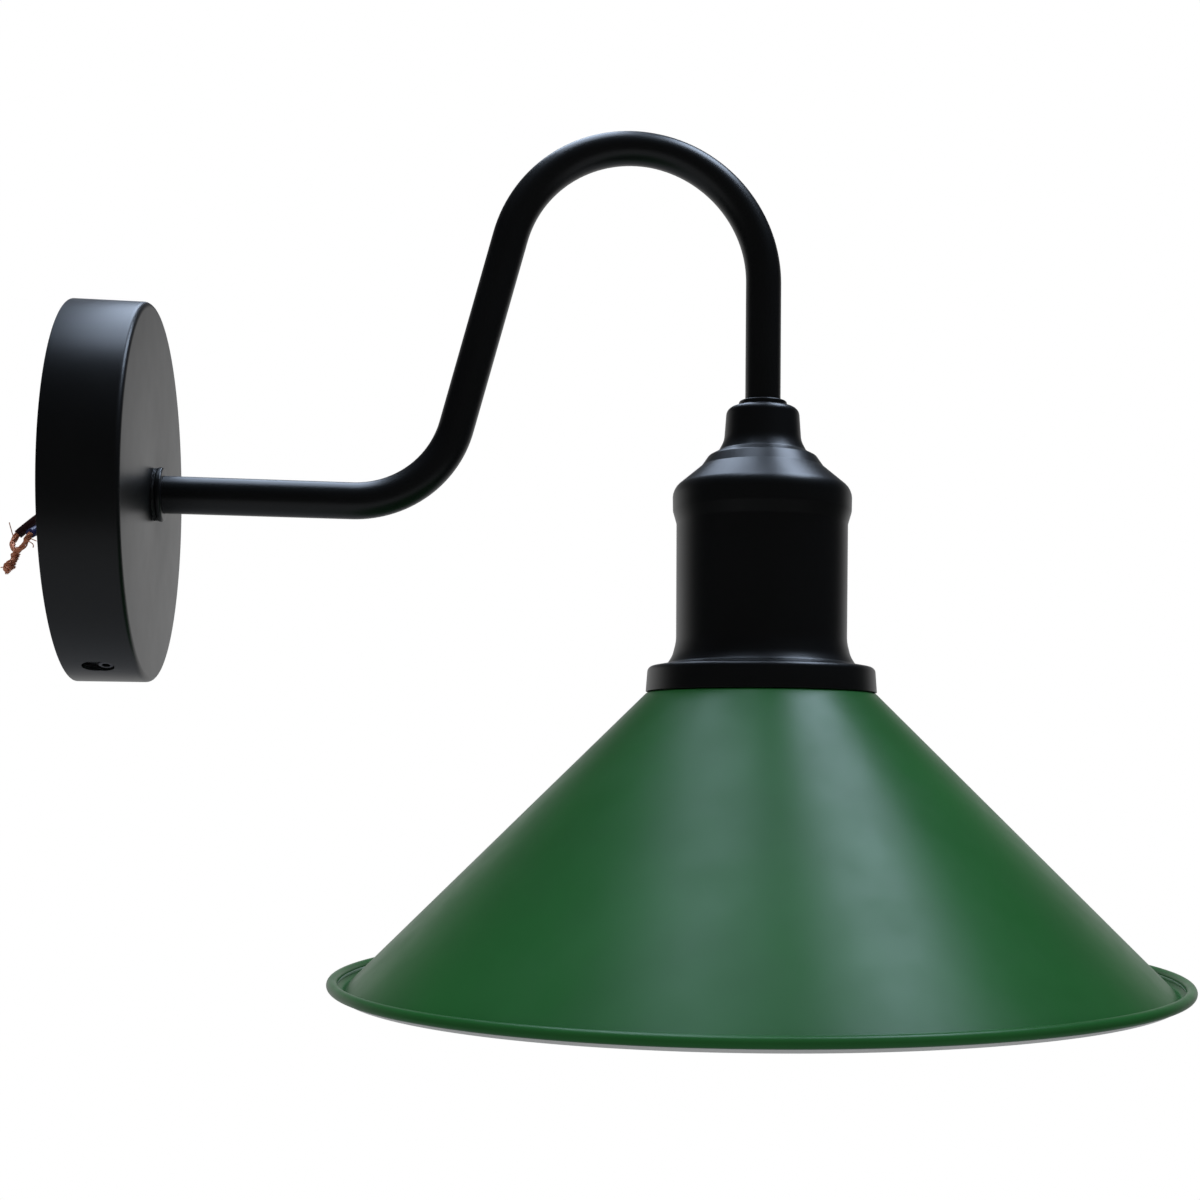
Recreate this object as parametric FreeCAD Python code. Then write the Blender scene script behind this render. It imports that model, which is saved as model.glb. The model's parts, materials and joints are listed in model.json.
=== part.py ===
"""Gooseneck wall light with a bell-shaped lampholder cover and a wide conical shade.

The origin is the centre of the canopy's back rim, on the wall. +X points out of the
wall along the arm's first leg, +Z is up, and the arm lies in the plane Y = 0.
All sizes are in millimetres.
"""
import FreeCAD, Part
import math
import os

V = FreeCAD.Vector

# Wall canopy: a drawn cup with a short slot in its side at two opposite places.
canopy_radius = 50.0
canopy_depth = 19.0
canopy_wall = 1.0
canopy_edge_radius = 2.2
slot_length = 8.0
slot_width = 5.7
slot_from_wall = 4.9
slot_turn = 19.7

# Steel strap behind the canopy, turned with the slots.
strap_thickness = 1.5
strap_width = 24.0
strap_ear_width = 14.0
strap_ear_height = 15.5
strap_bend_radius = 2.0
strap_corner_radius = 3.0
ear_corner_radius = 2.0
hole_to_taper = 4.0
strap_gap = 0.8
opening_width = 15.0
opening_length = 28.0
wall_hole_spacing = 60.0
wall_hole_radius = 2.6
grub_radius = 1.95
grub_length = 6.0
grub_recess = 0.4
grub_play = 0.1
earth_screw_at = 20.8
earth_screw_radius = 1.95
earth_head_radius = 3.6
earth_head_height = 2.2
earth_head_rounding = 1.0
earth_washer_radius = 4.4
earth_washer_thickness = 0.8

# Bent tube of the arm.
tube_radius = 5.0
tube_wall = 1.0
first_leg = 70.6
first_bend_radius = 28.6
slant_angle = 75.3
slant_length = 55.4
arch_radius = 36.3
thread_inside_canopy = 6.0

# Rings, washers and nuts where the tube passes through sheet metal.
fit_gap = 0.1
gasket_radius = 7.1
gasket_thickness = 1.0
collar_radius = 7.2
collar_thickness = 1.6
collar_chamfer = 0.45
head_collar_radius = 6.8
head_collar_thickness = 1.7
washer_radius = 7.6
washer_thickness = 1.0
washer_teeth = 12
washer_tooth_depth = 0.9
nut_across_flats = 14.0
nut_chamfer = 0.9
canopy_nut_height = 4.0
cover_nut_height = 3.5

# Bush and cores of the mains lead inside the tube.
core_radius = 1.2
core_spread = 1.35
bush_wall = 1.2
bush_depth = 5.0
bush_flange = 1.2
bush_edge = 0.5
core_turn_radius = 5.5

# Spun bell cover of the lampholder: lengths down from its top, widths outwards.
cover_wall = 1.0
cover_top = 30.2
neck_length = 11.4
hood_drop = 2.3
crease_drop = 2.8
bulge_drop = 6.5
bulge_length = 7.8
step_length = 1.6
body_length = 35.6
flare_length = 4.2
flange_drop = 2.6
flange_length = 5.8
neck_radius = 10.0
neck_taper = 1.05
hood_width = 4.25
crease_width = 2.2
body_radius = 24.1
body_taper = 0.1
bulge_step = 1.2
bulge_taper = 0.2
flare_width = 2.1
flange_width = 5.1
flange_taper = 1.1
neck_rounding = 2.4
neck_foot_rounding = 2.6
hood_rounding = 1.6
crease_rounding = 0.8
bulge_rounding = 4.2
step_rounding = 0.7
flare_rounding = 6.0
flare_edge_rounding = 0.4
flange_rounding = 1.8

# Conical shade with its upturned, rolled rim.
shade_gap = 0.2
shade_wall = 0.8
shade_hole_gap = 0.6
shoulder_inset = 0.4
shoulder_rounding = 1.5
cone_angle = 45.2
groove_radius = 113.6
lip_width = 2.65
lip_rise = 2.1
groove_rounding = 0.8
rim_bead_radius = 1.45

# Lampholder for a 27 mm screw cap.
holder_radius = 20.4
holder_wall = 1.9
boss_gap = 2.2
boss_depth = 9.7
boss_wall = 2.35
boss_edge = 0.6
dome_shoulder_drop = 2.3
dome_shoulder_width = 3.5
dome_shoulder_fall = 0.6
dome_neck_rounding = 2.0
dome_top_rounding = 4.0
dome_side_rounding = 7.0
dome_side = 13.0
dome_lap = 10.0
set_screw_radius = 1.45
puck_above_seat = 14.0
puck_height = 30.6
puck_gap = 0.3
puck_chamfer = 0.8
pocket_radius = 11.5
pocket_depth = 6.6
clamp_inset = 3.5
clamp_thickness = 2.0
clamp_edge = 0.5
clamp_rounding = 1.5
skirt_thread_radius = 20.0
skirt_thread_length = 15.4
skirt_chamfer = 0.8
shell_radius = 13.3
shell_wall = 0.4
shell_flange_width = 1.6
shell_flange_thickness = 0.8
shell_flange_gap = 0.3
shell_recess = 6.0
rivet_radius = 0.6
rivet_depth = 3.0
centre_rivet_at = 7.5
block_size = 6.0
block_width = 8.0
block_height = 7.0
block_offset = 9.0
block_sink = 2.0
wire_hole_depth = 3.0
terminal_screw_radius = 1.5
terminal_screw_depth = 1.5
terminal_head_radius = 2.5
terminal_head_height = 1.6
strip_thickness = 0.5
strip_width = 4.0
strip_gap = 0.2
side_strip_at = 14.0
leaf_thickness = 0.4
leaf_width = 6.0
leaf_root = 8.0
leaf_reach = 10.5
leaf_drop = 4.6
leaf_toe = 2.0
leaf_bend_radius = 1.0
leaf_gap = 0.3

# Ring that clamps the shade on the lampholder's thread.
ring_thread_gap = 0.08
ring_height = 7.0
ring_wall = 3.4
ring_edge = 0.8
ring_flange_radius = 27.0
ring_flange_thickness = 2.0
ring_flange_edge = 0.5
ring_ribs = 16
rib_depth = 1.2
rib_root = 1.0
rib_width = 2.4

# Free leads behind the canopy. Their points are chosen by hand.
live_points = [
    (2.8, core_spread, 0.0),
    (-4.4, 3.6, -2.8),
    (-10.4, 3.8, -7.2),
    (-15.8, 2.2, -12.0),
]
neutral_points = [
    (3.0, -core_spread, 0.0),
    (-4.2, -0.4, -3.6),
    (-8.4, -3.0, -9.4),
    (-10.2, -9.8, -12.6),
]
strand_radius = 0.6
live_strand_points = [
    (-17.7, 1.64, -13.69),
    (-17.0, 1.0, -17.0),
    (-15.2, -2.4, -19.4),
    (-14.9, -6.0, -22.2),
    (-16.2, -9.6, -24.6),
]
neutral_strand_points = [
    (-10.76, -11.92, -13.6),
    (-11.6, -13.4, -15.8),
    (-12.2, -12.0, -19.0),
    (-13.6, -10.8, -22.4),
    (-15.4, -12.2, -25.0),
]

# Shares and limits of the drawing helpers.
arc_share = 0.45
least_turn = 0.01
least_rounding = 0.15
least_mitre = 0.3
same_point = 1e-6
cut_over = 1.0

# Places that follow from the sizes above.
slant = math.radians(slant_angle)
tube_start = canopy_depth - canopy_wall - thread_inside_canopy
slant_start = V(
    first_leg + first_bend_radius * math.sin(slant), 0, first_bend_radius * (1 - math.cos(slant))
)
slant_end = slant_start + V(slant_length * math.cos(slant), 0, slant_length * math.sin(slant))
arch_centre = slant_end + V(arch_radius * math.sin(slant), 0, -arch_radius * math.cos(slant))
head_x = arch_centre.x + arch_radius
ear_face = canopy_radius - canopy_wall - strap_gap
grub_x = slot_from_wall + slot_length - grub_play - grub_radius
bush_radius = tube_radius - tube_wall - fit_gap / 2
bush_start = tube_start - bush_flange
neck_foot = cover_top - neck_length
hood_edge = neck_foot - hood_drop
crease_height = hood_edge - crease_drop
bulge_top = crease_height - bulge_drop
bulge_foot = bulge_top - bulge_length
body_top = bulge_foot - step_length
flare_top = body_top - body_length
flare_foot = flare_top - flare_length
flange_top = flare_foot - flange_drop
flange_foot = flange_top - flange_length
neck_foot_radius = neck_radius + neck_taper
hood_radius = neck_foot_radius + hood_width
crease_radius = hood_radius + crease_width
bulge_radius = body_radius + bulge_step
flare_radius = body_radius + flare_width
flange_top_radius = flare_radius + flange_width
flange_radius = flange_top_radius + flange_taper
cover_nut_foot = cover_top - cover_wall - washer_thickness - cover_nut_height
shade_top = flange_foot - shade_gap
shoulder_radius = flange_radius - shoulder_inset
shade_hole_radius = skirt_thread_radius + shade_hole_gap
groove_height = shade_top - (groove_radius - shoulder_radius) / math.tan(math.radians(cone_angle))
boss_top = cover_nut_foot - boss_gap
boss_radius = tube_radius + fit_gap / 2 + boss_wall
tube_end = boss_top - boss_depth
dome_shoulder = tube_end - dome_shoulder_drop
puck_foot = shade_top + puck_above_seat
puck_top = puck_foot + puck_height
pocket_top = puck_foot + pocket_depth
dome_joint = puck_top - dome_lap
dome_foot = dome_joint + dome_side
clamp_radius = shoulder_radius - clamp_inset
skirt_mouth = shade_top - skirt_thread_length
shell_mouth = skirt_mouth + shell_recess
shell_flange_radius = shell_radius + shell_wall + shell_flange_width
skirt_bore_radius = shell_flange_radius + shell_flange_gap
block_foot = puck_top - block_sink
wire_height = block_foot + block_height / 2


def corner_arc(before, corner, after, radius):
    """Start, middle and end of the arc that rounds a corner of an outline."""
    to_before = before - corner
    to_after = after - corner
    half = to_before.getAngle(to_after) / 2
    longest = arc_share * min(to_before.Length, to_after.Length)
    reach = min(radius / math.tan(half), longest)
    radius = reach * math.tan(half)
    to_before.normalize()
    to_after.normalize()
    inward = to_before + to_after
    inward.normalize()
    middle = corner + inward * (radius / math.sin(half) - radius)
    return corner + to_before * reach, middle, corner + to_after * reach


def rounded_wire(corners, closed=True):
    """Wire through corners (x, y, rounding), with each rounded corner as an arc."""
    points = [V(c[0], c[1], 0) for c in corners]
    count = len(points)
    pieces = []
    for i, corner in enumerate(corners):
        inner = closed or 0 < i < count - 1
        rounding = corner[2] if len(corner) > 2 and inner else 0
        turn = 0
        if inner:
            turn = (points[i] - points[i - 1]).getAngle(points[(i + 1) % count] - points[i])
        if rounding > 0 and turn > least_turn:
            pieces.append(corner_arc(points[i - 1], points[i], points[(i + 1) % count], rounding))
        else:
            pieces.append((points[i],))
    edges = []
    for i, piece in enumerate(pieces):
        if len(piece) == 3:
            edges.append(Part.Arc(*piece).toShape())
        if i + 1 < count or closed:
            following = pieces[(i + 1) % count][0]
            if piece[-1].distanceToPoint(following) > same_point:
                edges.append(Part.LineSegment(piece[-1], following).toShape())
    return Part.Wire(edges)


def revolved(outline):
    """Solid turned about Z from a closed wire whose X is the radius and whose Y is the height."""
    face = Part.Face(outline)
    face.rotate(V(0, 0, 0), V(1, 0, 0), 90)
    return face.revolve(V(0, 0, 0), V(0, 0, 1), 360)


def turned(corners):
    """Solid turned about Z from corners (radius, height, rounding)."""
    return revolved(rounded_wire(corners))


def lathe_on_z(corners):
    """Solid turned about the head's axis from corners (radius, height, rounding)."""
    return stand_on_head(turned(corners), 0)


def lathe_on_x(corners):
    """Solid turned about the arm's first leg from corners (radius, distance, rounding)."""
    face = Part.Face(rounded_wire([(c[1], c[0], *c[2:]) for c in corners]))
    return face.revolve(V(0, 0, 0), V(1, 0, 0), 360)


def ring_corners(outer, inner, low, high, chamfer=0.0):
    """Section of a plain ring, with its outer edges chamfered."""
    if chamfer == 0:
        return [(inner, low), (outer, low), (outer, high), (inner, high)]
    return [
        (inner, low),
        (outer - chamfer, low),
        (outer, low + chamfer),
        (outer, high - chamfer),
        (outer - chamfer, high),
        (inner, high),
    ]


def sheet_section(corners, wall):
    """Closed section of sheet metal along corners, its wall on their right, or left if negative."""
    points = [V(c[0], c[1], 0) for c in corners]
    last = len(points) - 1
    other = []
    for i, corner in enumerate(corners):
        before = points[i] - points[i - 1] if i > 0 else points[1] - points[0]
        after = points[i + 1] - points[i] if i < last else before
        before.normalize()
        after.normalize()
        right = V(before.y + after.y, -before.x - after.x, 0)
        right.normalize()
        mitre = wall / max(least_mitre, right.dot(V(before.y, -before.x, 0)))
        offset = points[i] + right * mitre
        turns_right = before.cross(after).z < 0
        rounding = corner[2] if len(corner) > 2 else 0
        if rounding > 0:
            rounding = max(least_rounding, rounding - wall) if turns_right else rounding + wall
        other.append((offset.x, offset.y, rounding))
    return list(corners) + other[::-1]


def hexagon_nut(bore, height):
    """Hexagon nut with chamfered corners, standing on Z = 0 at the origin."""
    corner_radius = nut_across_flats / math.sqrt(3)
    corners = []
    for i in range(7):
        angle = math.radians(60 * i)
        corners.append(V(corner_radius * math.cos(angle), corner_radius * math.sin(angle), 0))
    prism = Part.Face(Part.makePolygon(corners)).extrude(V(0, 0, height))
    return prism.common(turned(ring_corners(corner_radius, bore, 0, height, nut_chamfer)))


def toothed_washer(bore):
    """Lock washer with teeth round its bore, standing on Z = 0 at the origin."""
    washer = turned(ring_corners(washer_radius, bore, 0, washer_thickness))
    notch_width = math.pi * bore / washer_teeth
    start = V(bore - cut_over, -notch_width / 2, 0)
    for i in range(washer_teeth):
        notch = Part.makeBox(washer_tooth_depth + cut_over, notch_width, washer_thickness, start)
        notch.rotate(V(0, 0, 0), V(0, 0, 1), 360 * i / washer_teeth)
        washer = washer.cut(notch)
    return washer


def stand_on_x(shape, distance):
    """Turns a piece that stands on Z so that it stands on the arm's first leg."""
    shape.rotate(V(0, 0, 0), V(0, 1, 0), 90)
    shape.translate(V(distance, 0, 0))
    return shape


def stand_on_head(shape, height):
    """Moves a piece that stands on Z to a height on the head's axis."""
    shape.translate(V(head_x, 0, height))
    return shape


def head_box(low, high):
    """Box between two corners given from the head's axis."""
    size = V(*high) - V(*low)
    return Part.makeBox(size.x, size.y, size.z, V(*low) + V(head_x, 0, 0))


def head_cylinder(radius, low, high, x=0.0, y=0.0):
    """Upright cylinder between two heights, placed from the head's axis."""
    return Part.makeCylinder(radius, high - low, V(head_x + x, y, low))


def turned_with_slots(shape):
    """Turns a piece that lies along Z so that it lines up with the canopy's slots."""
    shape.rotate(V(0, 0, 0), V(1, 0, 0), -slot_turn)
    return shape


def obround(length, width, thickness):
    """Slot shape with its length along X, its width along Y and its thickness along Z."""
    middle = Part.makeBox(
        length - width, width, thickness, V(-(length - width) / 2, -width / 2, 0)
    )
    for side in (-1, 1):
        end = Part.makeCylinder(width / 2, thickness, V(side * (length - width) / 2, 0, 0))
        middle = middle.fuse(end)
    return middle.removeSplitter()


def arm_edges(start_x, end_z, offset_y=0.0):
    """Edges of the arm's centreline, from inside the canopy to inside the cover."""
    y = V(0, offset_y, 0)
    first_centre = V(first_leg, 0, first_bend_radius)
    half = slant / 2
    first_middle = first_centre + V(math.sin(half), 0, -math.cos(half)) * first_bend_radius
    top_angle = (slant - math.pi / 2) / 2
    arch_middle = arch_centre + V(-math.sin(top_angle), 0, math.cos(top_angle)) * arch_radius
    arch_end = arch_centre + V(arch_radius, 0, 0)
    bend_start = V(first_leg, 0, 0)
    return [
        Part.LineSegment(V(start_x, 0, 0) + y, bend_start + y).toShape(),
        Part.Arc(bend_start + y, first_middle + y, slant_start + y).toShape(),
        Part.LineSegment(slant_start + y, slant_end + y).toShape(),
        Part.Arc(slant_end + y, arch_middle + y, arch_end + y).toShape(),
        Part.LineSegment(arch_end + y, V(head_x, 0, end_z) + y).toShape(),
    ]


def swept(edges, radius):
    """Round bar of a radius along a path of tangent lines and arcs."""
    path = Part.Wire(edges)
    first = path.OrderedEdges[0]
    start = path.OrderedVertexes[0].Point
    direction = first.tangentAt(first.FirstParameter)
    section = Part.Wire(Part.makeCircle(radius, start, direction))
    return path.makePipeShell([section], True, False)


def make_wall_strap():
    """Flat strap with two upturned ears, an opening for the leads and two wall holes."""
    section = [
        (ear_face, strap_ear_height),
        (ear_face, 0, strap_bend_radius + strap_thickness),
        (-ear_face, 0, strap_bend_radius + strap_thickness),
        (-ear_face, strap_ear_height),
    ]
    profile = Part.Face(rounded_wire(sheet_section(section, strap_thickness)))
    channel = profile.extrude(V(0, 0, strap_width))
    channel.translate(V(0, 0, -strap_width / 2))
    channel.rotate(V(0, 0, 0), V(1, 0, 0), 90)
    half = wall_hole_spacing / 2 + hole_to_taper
    taper = (strap_width - strap_ear_width) / 2
    plan = []
    for side_u, side_v in ((1, 1), (-1, 1), (-1, -1), (1, -1)):
        wide = (side_u * half, side_v * strap_width / 2, strap_corner_radius)
        ear = side_v * strap_ear_width / 2
        narrow = (side_u * (half + taper), ear, ear_corner_radius)
        end = (side_u * (ear_face + cut_over), ear)
        plan += [wide, narrow, end] if side_u * side_v < 0 else [end, narrow, wide]
    prism = Part.Face(rounded_wire(plan)).extrude(V(0, 0, strap_ear_height))
    strap = channel.common(prism)
    strap = strap.cut(obround(opening_length, opening_width, strap_thickness))
    for side in (-1, 1):
        hole = Part.makeCylinder(
            wall_hole_radius, strap_thickness, V(side * wall_hole_spacing / 2, 0, 0)
        )
        strap = strap.cut(hole)
        ear_hole = Part.makeCylinder(
            grub_radius + fit_gap / 2,
            strap_thickness + 2 * cut_over,
            V(side * (ear_face - strap_thickness - cut_over), 0, grub_x),
            V(side, 0, 0),
        )
        strap = strap.cut(ear_hole)
    earth_hole = Part.makeCylinder(
        earth_screw_radius + fit_gap / 2, strap_thickness, V(earth_screw_at, 0, 0)
    )
    strap = strap.cut(earth_hole)
    strap.rotate(V(0, 0, 0), V(0, 1, 0), 90)
    return turned_with_slots(strap)


def make_strap_grub_screws():
    """Two grub screws in the ears, whose tips stand in the canopy's slots."""
    screws = []
    tip = canopy_radius - grub_recess
    for side in (-1, 1):
        start = V(grub_x, 0, side * (tip - grub_length))
        screw = Part.makeCylinder(grub_radius, grub_length, start, V(0, 0, side))
        screws.append(turned_with_slots(screw))
    return Part.makeCompound(screws)


def make_earth_screw():
    """Screw with a pan head, for the earth of the fixed wiring."""
    thread = Part.makeCylinder(
        earth_screw_radius, strap_thickness + earth_washer_thickness, V(0, 0, 0), V(1, 0, 0)
    )
    seat = strap_thickness + earth_washer_thickness
    head = Part.makeCylinder(earth_head_radius, earth_head_height, V(seat, 0, 0), V(1, 0, 0))
    head = head.makeFillet(earth_head_rounding, [head.Edges[0]])
    screw = thread.fuse(head).removeSplitter()
    screw.translate(V(0, 0, -earth_screw_at))
    return turned_with_slots(screw)


def make_earth_washer():
    """Washer under the earth screw's head."""
    corners = ring_corners(
        earth_washer_radius,
        earth_screw_radius + fit_gap,
        strap_thickness,
        strap_thickness + earth_washer_thickness,
    )
    washer = lathe_on_x(corners)
    washer.translate(V(0, 0, -earth_screw_at))
    return turned_with_slots(washer)


def make_canopy():
    """Drawn cup with a hole for the tube and a slot at each end of the strap."""
    outer = [
        (tube_radius + fit_gap, canopy_depth),
        (canopy_radius, canopy_depth, canopy_edge_radius),
        (canopy_radius, 0),
    ]
    cup = lathe_on_x(sheet_section(outer, canopy_wall))
    for side in (-1, 1):
        slot = obround(slot_length, slot_width, canopy_wall + 2 * cut_over)
        inside = canopy_radius - canopy_wall - cut_over
        slot.translate(V(slot_from_wall + slot_length / 2, 0, inside))
        if side < 0:
            slot.rotate(V(0, 0, 0), V(1, 0, 0), 180)
        cup = cup.cut(turned_with_slots(slot))
    return cup


def make_canopy_gasket():
    """Flat gasket between the canopy and its collar."""
    corners = ring_corners(
        gasket_radius, tube_radius + fit_gap, canopy_depth, canopy_depth + gasket_thickness
    )
    return lathe_on_x(corners)


def make_canopy_collar():
    """Chamfered ring that the tube's shoulder presses on the gasket."""
    seat = canopy_depth + gasket_thickness
    corners = ring_corners(
        collar_radius, tube_radius + fit_gap, seat, seat + collar_thickness, collar_chamfer
    )
    return lathe_on_x(corners)


def make_canopy_lock_washer():
    """Toothed washer inside the canopy."""
    washer = toothed_washer(tube_radius + fit_gap)
    return stand_on_x(washer, canopy_depth - canopy_wall - washer_thickness)


def make_canopy_nut():
    """Nut inside the canopy."""
    nut = hexagon_nut(tube_radius + fit_gap / 2, canopy_nut_height)
    return stand_on_x(nut, canopy_depth - canopy_wall - washer_thickness - canopy_nut_height)


def make_arm_tube():
    """Bent tube from inside the canopy, up and over to inside the lampholder's cap."""
    edges = arm_edges(tube_start, tube_end)
    return swept(edges, tube_radius).cut(swept(edges, tube_radius - tube_wall))


def make_cable_bush():
    """Flanged plastic bush in the tube's end, which the two cores pass through."""
    bore = bush_radius - bush_wall
    corners = [
        (bore, bush_start),
        (tube_radius, bush_start, bush_edge),
        (tube_radius, tube_start),
        (bush_radius, tube_start),
        (bush_radius, tube_start + bush_depth),
        (bore, tube_start + bush_depth),
    ]
    return lathe_on_x(corners)


def make_core(side):
    """Insulated core from the bush, through the tube, into its terminal block."""
    y = side * core_spread
    edges = arm_edges(bush_start, wire_height + core_turn_radius, y)
    turn_start = V(head_x, y, wire_height + core_turn_radius)
    turn_end = V(head_x + side * core_turn_radius, y, wire_height)
    centre = V(turn_end.x, y, turn_start.z)
    diagonal = V(-side, 0, -1)
    diagonal.normalize()
    edges.append(Part.Arc(turn_start, centre + diagonal * core_turn_radius, turn_end).toShape())
    inside = V(head_x + side * block_offset, y, wire_height)
    edges.append(Part.LineSegment(turn_end, inside).toShape())
    return swept(edges, core_radius)


def free_cord(name, points, radius):
    """Free lead along its route's points: straight runs joined by tangent arcs."""
    points = [V(*p) for p in points]
    edges = []
    radii = []
    here = points[0]
    for before, corner, after in zip(points, points[1:], points[2:]):
        shorter = min((corner - before).Length, (after - corner).Length)
        half_turn = (corner - before).getAngle(after - corner) / 2
        bend = arc_share * shorter / math.tan(half_turn)
        start, middle, end = corner_arc(before, corner, after, bend)
        edges.append(Part.LineSegment(here, start).toShape())
        edges.append(Part.Arc(start, middle, end).toShape())
        radii.append(bend)
        here = end
    edges.append(Part.LineSegment(here, points[-1]).toShape())
    solid = swept(edges, radius)
    length = sum(edge.Length for edge in edges)
    expected = math.pi * radius**2 * length
    shown = ", ".join("%.1f" % bend for bend in radii)
    print("%s: length %.1f, radii %s, volume ratio %.4f" % (
        name, length, shown, solid.Volume / expected))
    return solid


def make_live_lead():
    """Free end of the brown lead, through the strap's opening."""
    return free_cord("live_lead", [(bush_start, core_spread, 0)] + live_points, core_radius)


def make_neutral_lead():
    """Free end of the blue lead, through the strap's opening."""
    return free_cord("neutral_lead", [(bush_start, -core_spread, 0)] + neutral_points, core_radius)


def make_live_strands():
    """Bare strands of the brown lead, twisted with the other lead's."""
    return free_cord("live_strands", [live_points[-1]] + live_strand_points, strand_radius)


def make_neutral_strands():
    """Bare strands of the blue lead, twisted with the other lead's."""
    points = [neutral_points[-1]] + neutral_strand_points
    return free_cord("neutral_strands", points, strand_radius)


def make_head_collar():
    """Chamfered ring between the tube's shoulder and the bell cover."""
    corners = ring_corners(
        head_collar_radius,
        tube_radius + fit_gap,
        cover_top,
        cover_top + head_collar_thickness,
        collar_chamfer,
    )
    return lathe_on_z(corners)


def make_bell_cover():
    """Spun cover: neck, hood, bulge, straight body, flare and flange."""
    corners = [
        (tube_radius + fit_gap, cover_top),
        (neck_radius, cover_top, neck_rounding),
        (neck_foot_radius, neck_foot, neck_foot_rounding),
        (hood_radius, hood_edge, hood_rounding),
        (crease_radius, crease_height, crease_rounding),
        (bulge_radius, bulge_top, bulge_rounding),
        (bulge_radius - bulge_taper, bulge_foot, step_rounding),
        (body_radius, body_top, step_rounding),
        (body_radius - body_taper, flare_top, flare_rounding),
        (flare_radius, flare_foot, flare_edge_rounding),
        (flange_top_radius, flange_top, flange_rounding),
        (flange_radius, flange_foot),
    ]
    return lathe_on_z(sheet_section(corners, cover_wall))


def make_cover_washer():
    """Toothed washer under the top of the bell cover."""
    washer = toothed_washer(tube_radius + fit_gap)
    return stand_on_head(washer, cover_top - cover_wall - washer_thickness)


def make_cover_nut():
    """Nut that holds the bell cover against its collar."""
    nut = hexagon_nut(tube_radius + fit_gap / 2, cover_nut_height)
    return stand_on_head(nut, cover_nut_foot)


def make_holder_dome():
    """Cap of the lampholder, with a threaded boss that the tube's end is screwed into."""
    thread = tube_radius + fit_gap / 2
    bore = tube_radius - tube_wall
    slope_radius = boss_radius + dome_shoulder_width
    slope_top = dome_shoulder - dome_shoulder_fall
    inside_radius = holder_radius - holder_wall
    ceiling = dome_shoulder - holder_wall
    corners = [
        (thread, boss_top),
        (boss_radius, boss_top, boss_edge),
        (boss_radius, dome_shoulder, dome_neck_rounding),
        (slope_radius, slope_top, dome_top_rounding),
        (holder_radius, dome_foot, dome_side_rounding),
        (holder_radius, dome_joint),
        (inside_radius, dome_joint),
        (inside_radius, dome_foot, dome_side_rounding - holder_wall),
        (slope_radius - holder_wall, ceiling - dome_shoulder_fall, dome_top_rounding),
        (bore, ceiling),
        (bore, tube_end),
        (thread, tube_end),
    ]
    hole = Part.makeCylinder(
        set_screw_radius + fit_gap / 2,
        boss_radius,
        V(head_x, 0, (tube_end + boss_top) / 2),
        V(1, 0, 0),
    )
    return lathe_on_z(corners).cut(hole)


def make_dome_set_screw():
    """Set screw in the boss, which stops the lampholder from turning on the tube."""
    start = tube_radius + fit_gap
    place = V(head_x + start, 0, (tube_end + boss_top) / 2)
    return Part.makeCylinder(set_screw_radius, boss_radius - start - fit_gap, place, V(1, 0, 0))


def strip_box(side, near, far, low, high, gap=0.0):
    """Box of a contact strip on one side of the head, or of the slot that it lies in."""
    x = sorted((side * (near - gap), side * (far + gap)))
    half = strip_width / 2 + gap
    return head_box((x[0], -half, low), (x[1], half, high))


def rivet_places():
    """Places of the rivets: two for the screw shell, one for the centre strip."""
    ring = (shell_radius + shell_wall + shell_flange_radius) / 2
    return [(0, -ring, puck_foot), (0, ring, puck_foot), (centre_rivet_at, 0, pocket_top)]


def make_holder_core():
    """Ceramic puck: pockets for the terminal blocks and the leaf, slots for the strips."""
    radius = holder_radius - holder_wall - puck_gap
    puck = head_cylinder(radius, puck_foot, puck_top)
    puck = puck.makeChamfer(puck_chamfer, [e for e in puck.Edges if e.Closed])
    puck = puck.cut(head_cylinder(pocket_radius, puck_foot, pocket_top))
    half = block_width / 2 + strip_gap
    floors = {1: block_foot, -1: block_foot - strip_thickness}
    for side, floor in floors.items():
        x = sorted(side * (block_offset + k * (block_size / 2 + strip_gap)) for k in (-1, 1))
        puck = puck.cut(head_box((x[0], -half, floor), (x[1], half, puck_top)))
    side_far = side_strip_at + strip_thickness
    puck = puck.cut(strip_box(-1, block_offset, side_far, floors[-1], puck_top, strip_gap))
    puck = puck.cut(strip_box(-1, side_strip_at, side_far, puck_foot, puck_top, strip_gap))
    centre_far = block_offset + strip_thickness
    puck = puck.cut(strip_box(1, block_offset, centre_far, pocket_top, block_foot, strip_gap))
    for x, y, seat in rivet_places():
        puck = puck.cut(head_cylinder(rivet_radius + fit_gap / 2, seat, seat + rivet_depth, x, y))
    return puck


def make_terminal_blocks():
    """Two brass blocks, each with a hole for its core and one for its screw."""
    block_top = block_foot + block_height
    blocks = []
    for side in (-1, 1):
        near = side * (block_offset - block_size / 2)
        x = sorted((near, side * (block_offset + block_size / 2)))
        block = head_box((x[0], -block_width / 2, block_foot), (x[1], block_width / 2, block_top))
        start = V(head_x + near, side * core_spread, wire_height)
        wire_hole = Part.makeCylinder(core_radius + fit_gap, wire_hole_depth, start, V(side, 0, 0))
        screw_hole = head_cylinder(
            terminal_screw_radius + fit_gap / 2,
            block_top - terminal_screw_depth,
            block_top,
            side * block_offset,
        )
        blocks.append(block.cut(wire_hole).cut(screw_hole))
    return Part.makeCompound(blocks)


def make_terminal_screws():
    """Two screws that clamp the cores in the blocks."""
    top = block_foot + block_height
    screws = []
    for side in (-1, 1):
        x = side * block_offset
        thread = head_cylinder(terminal_screw_radius, top - terminal_screw_depth, top, x)
        head = head_cylinder(terminal_head_radius, top, top + terminal_head_height, x)
        screws.append(thread.fuse(head).removeSplitter())
    return Part.makeCompound(screws)


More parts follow.
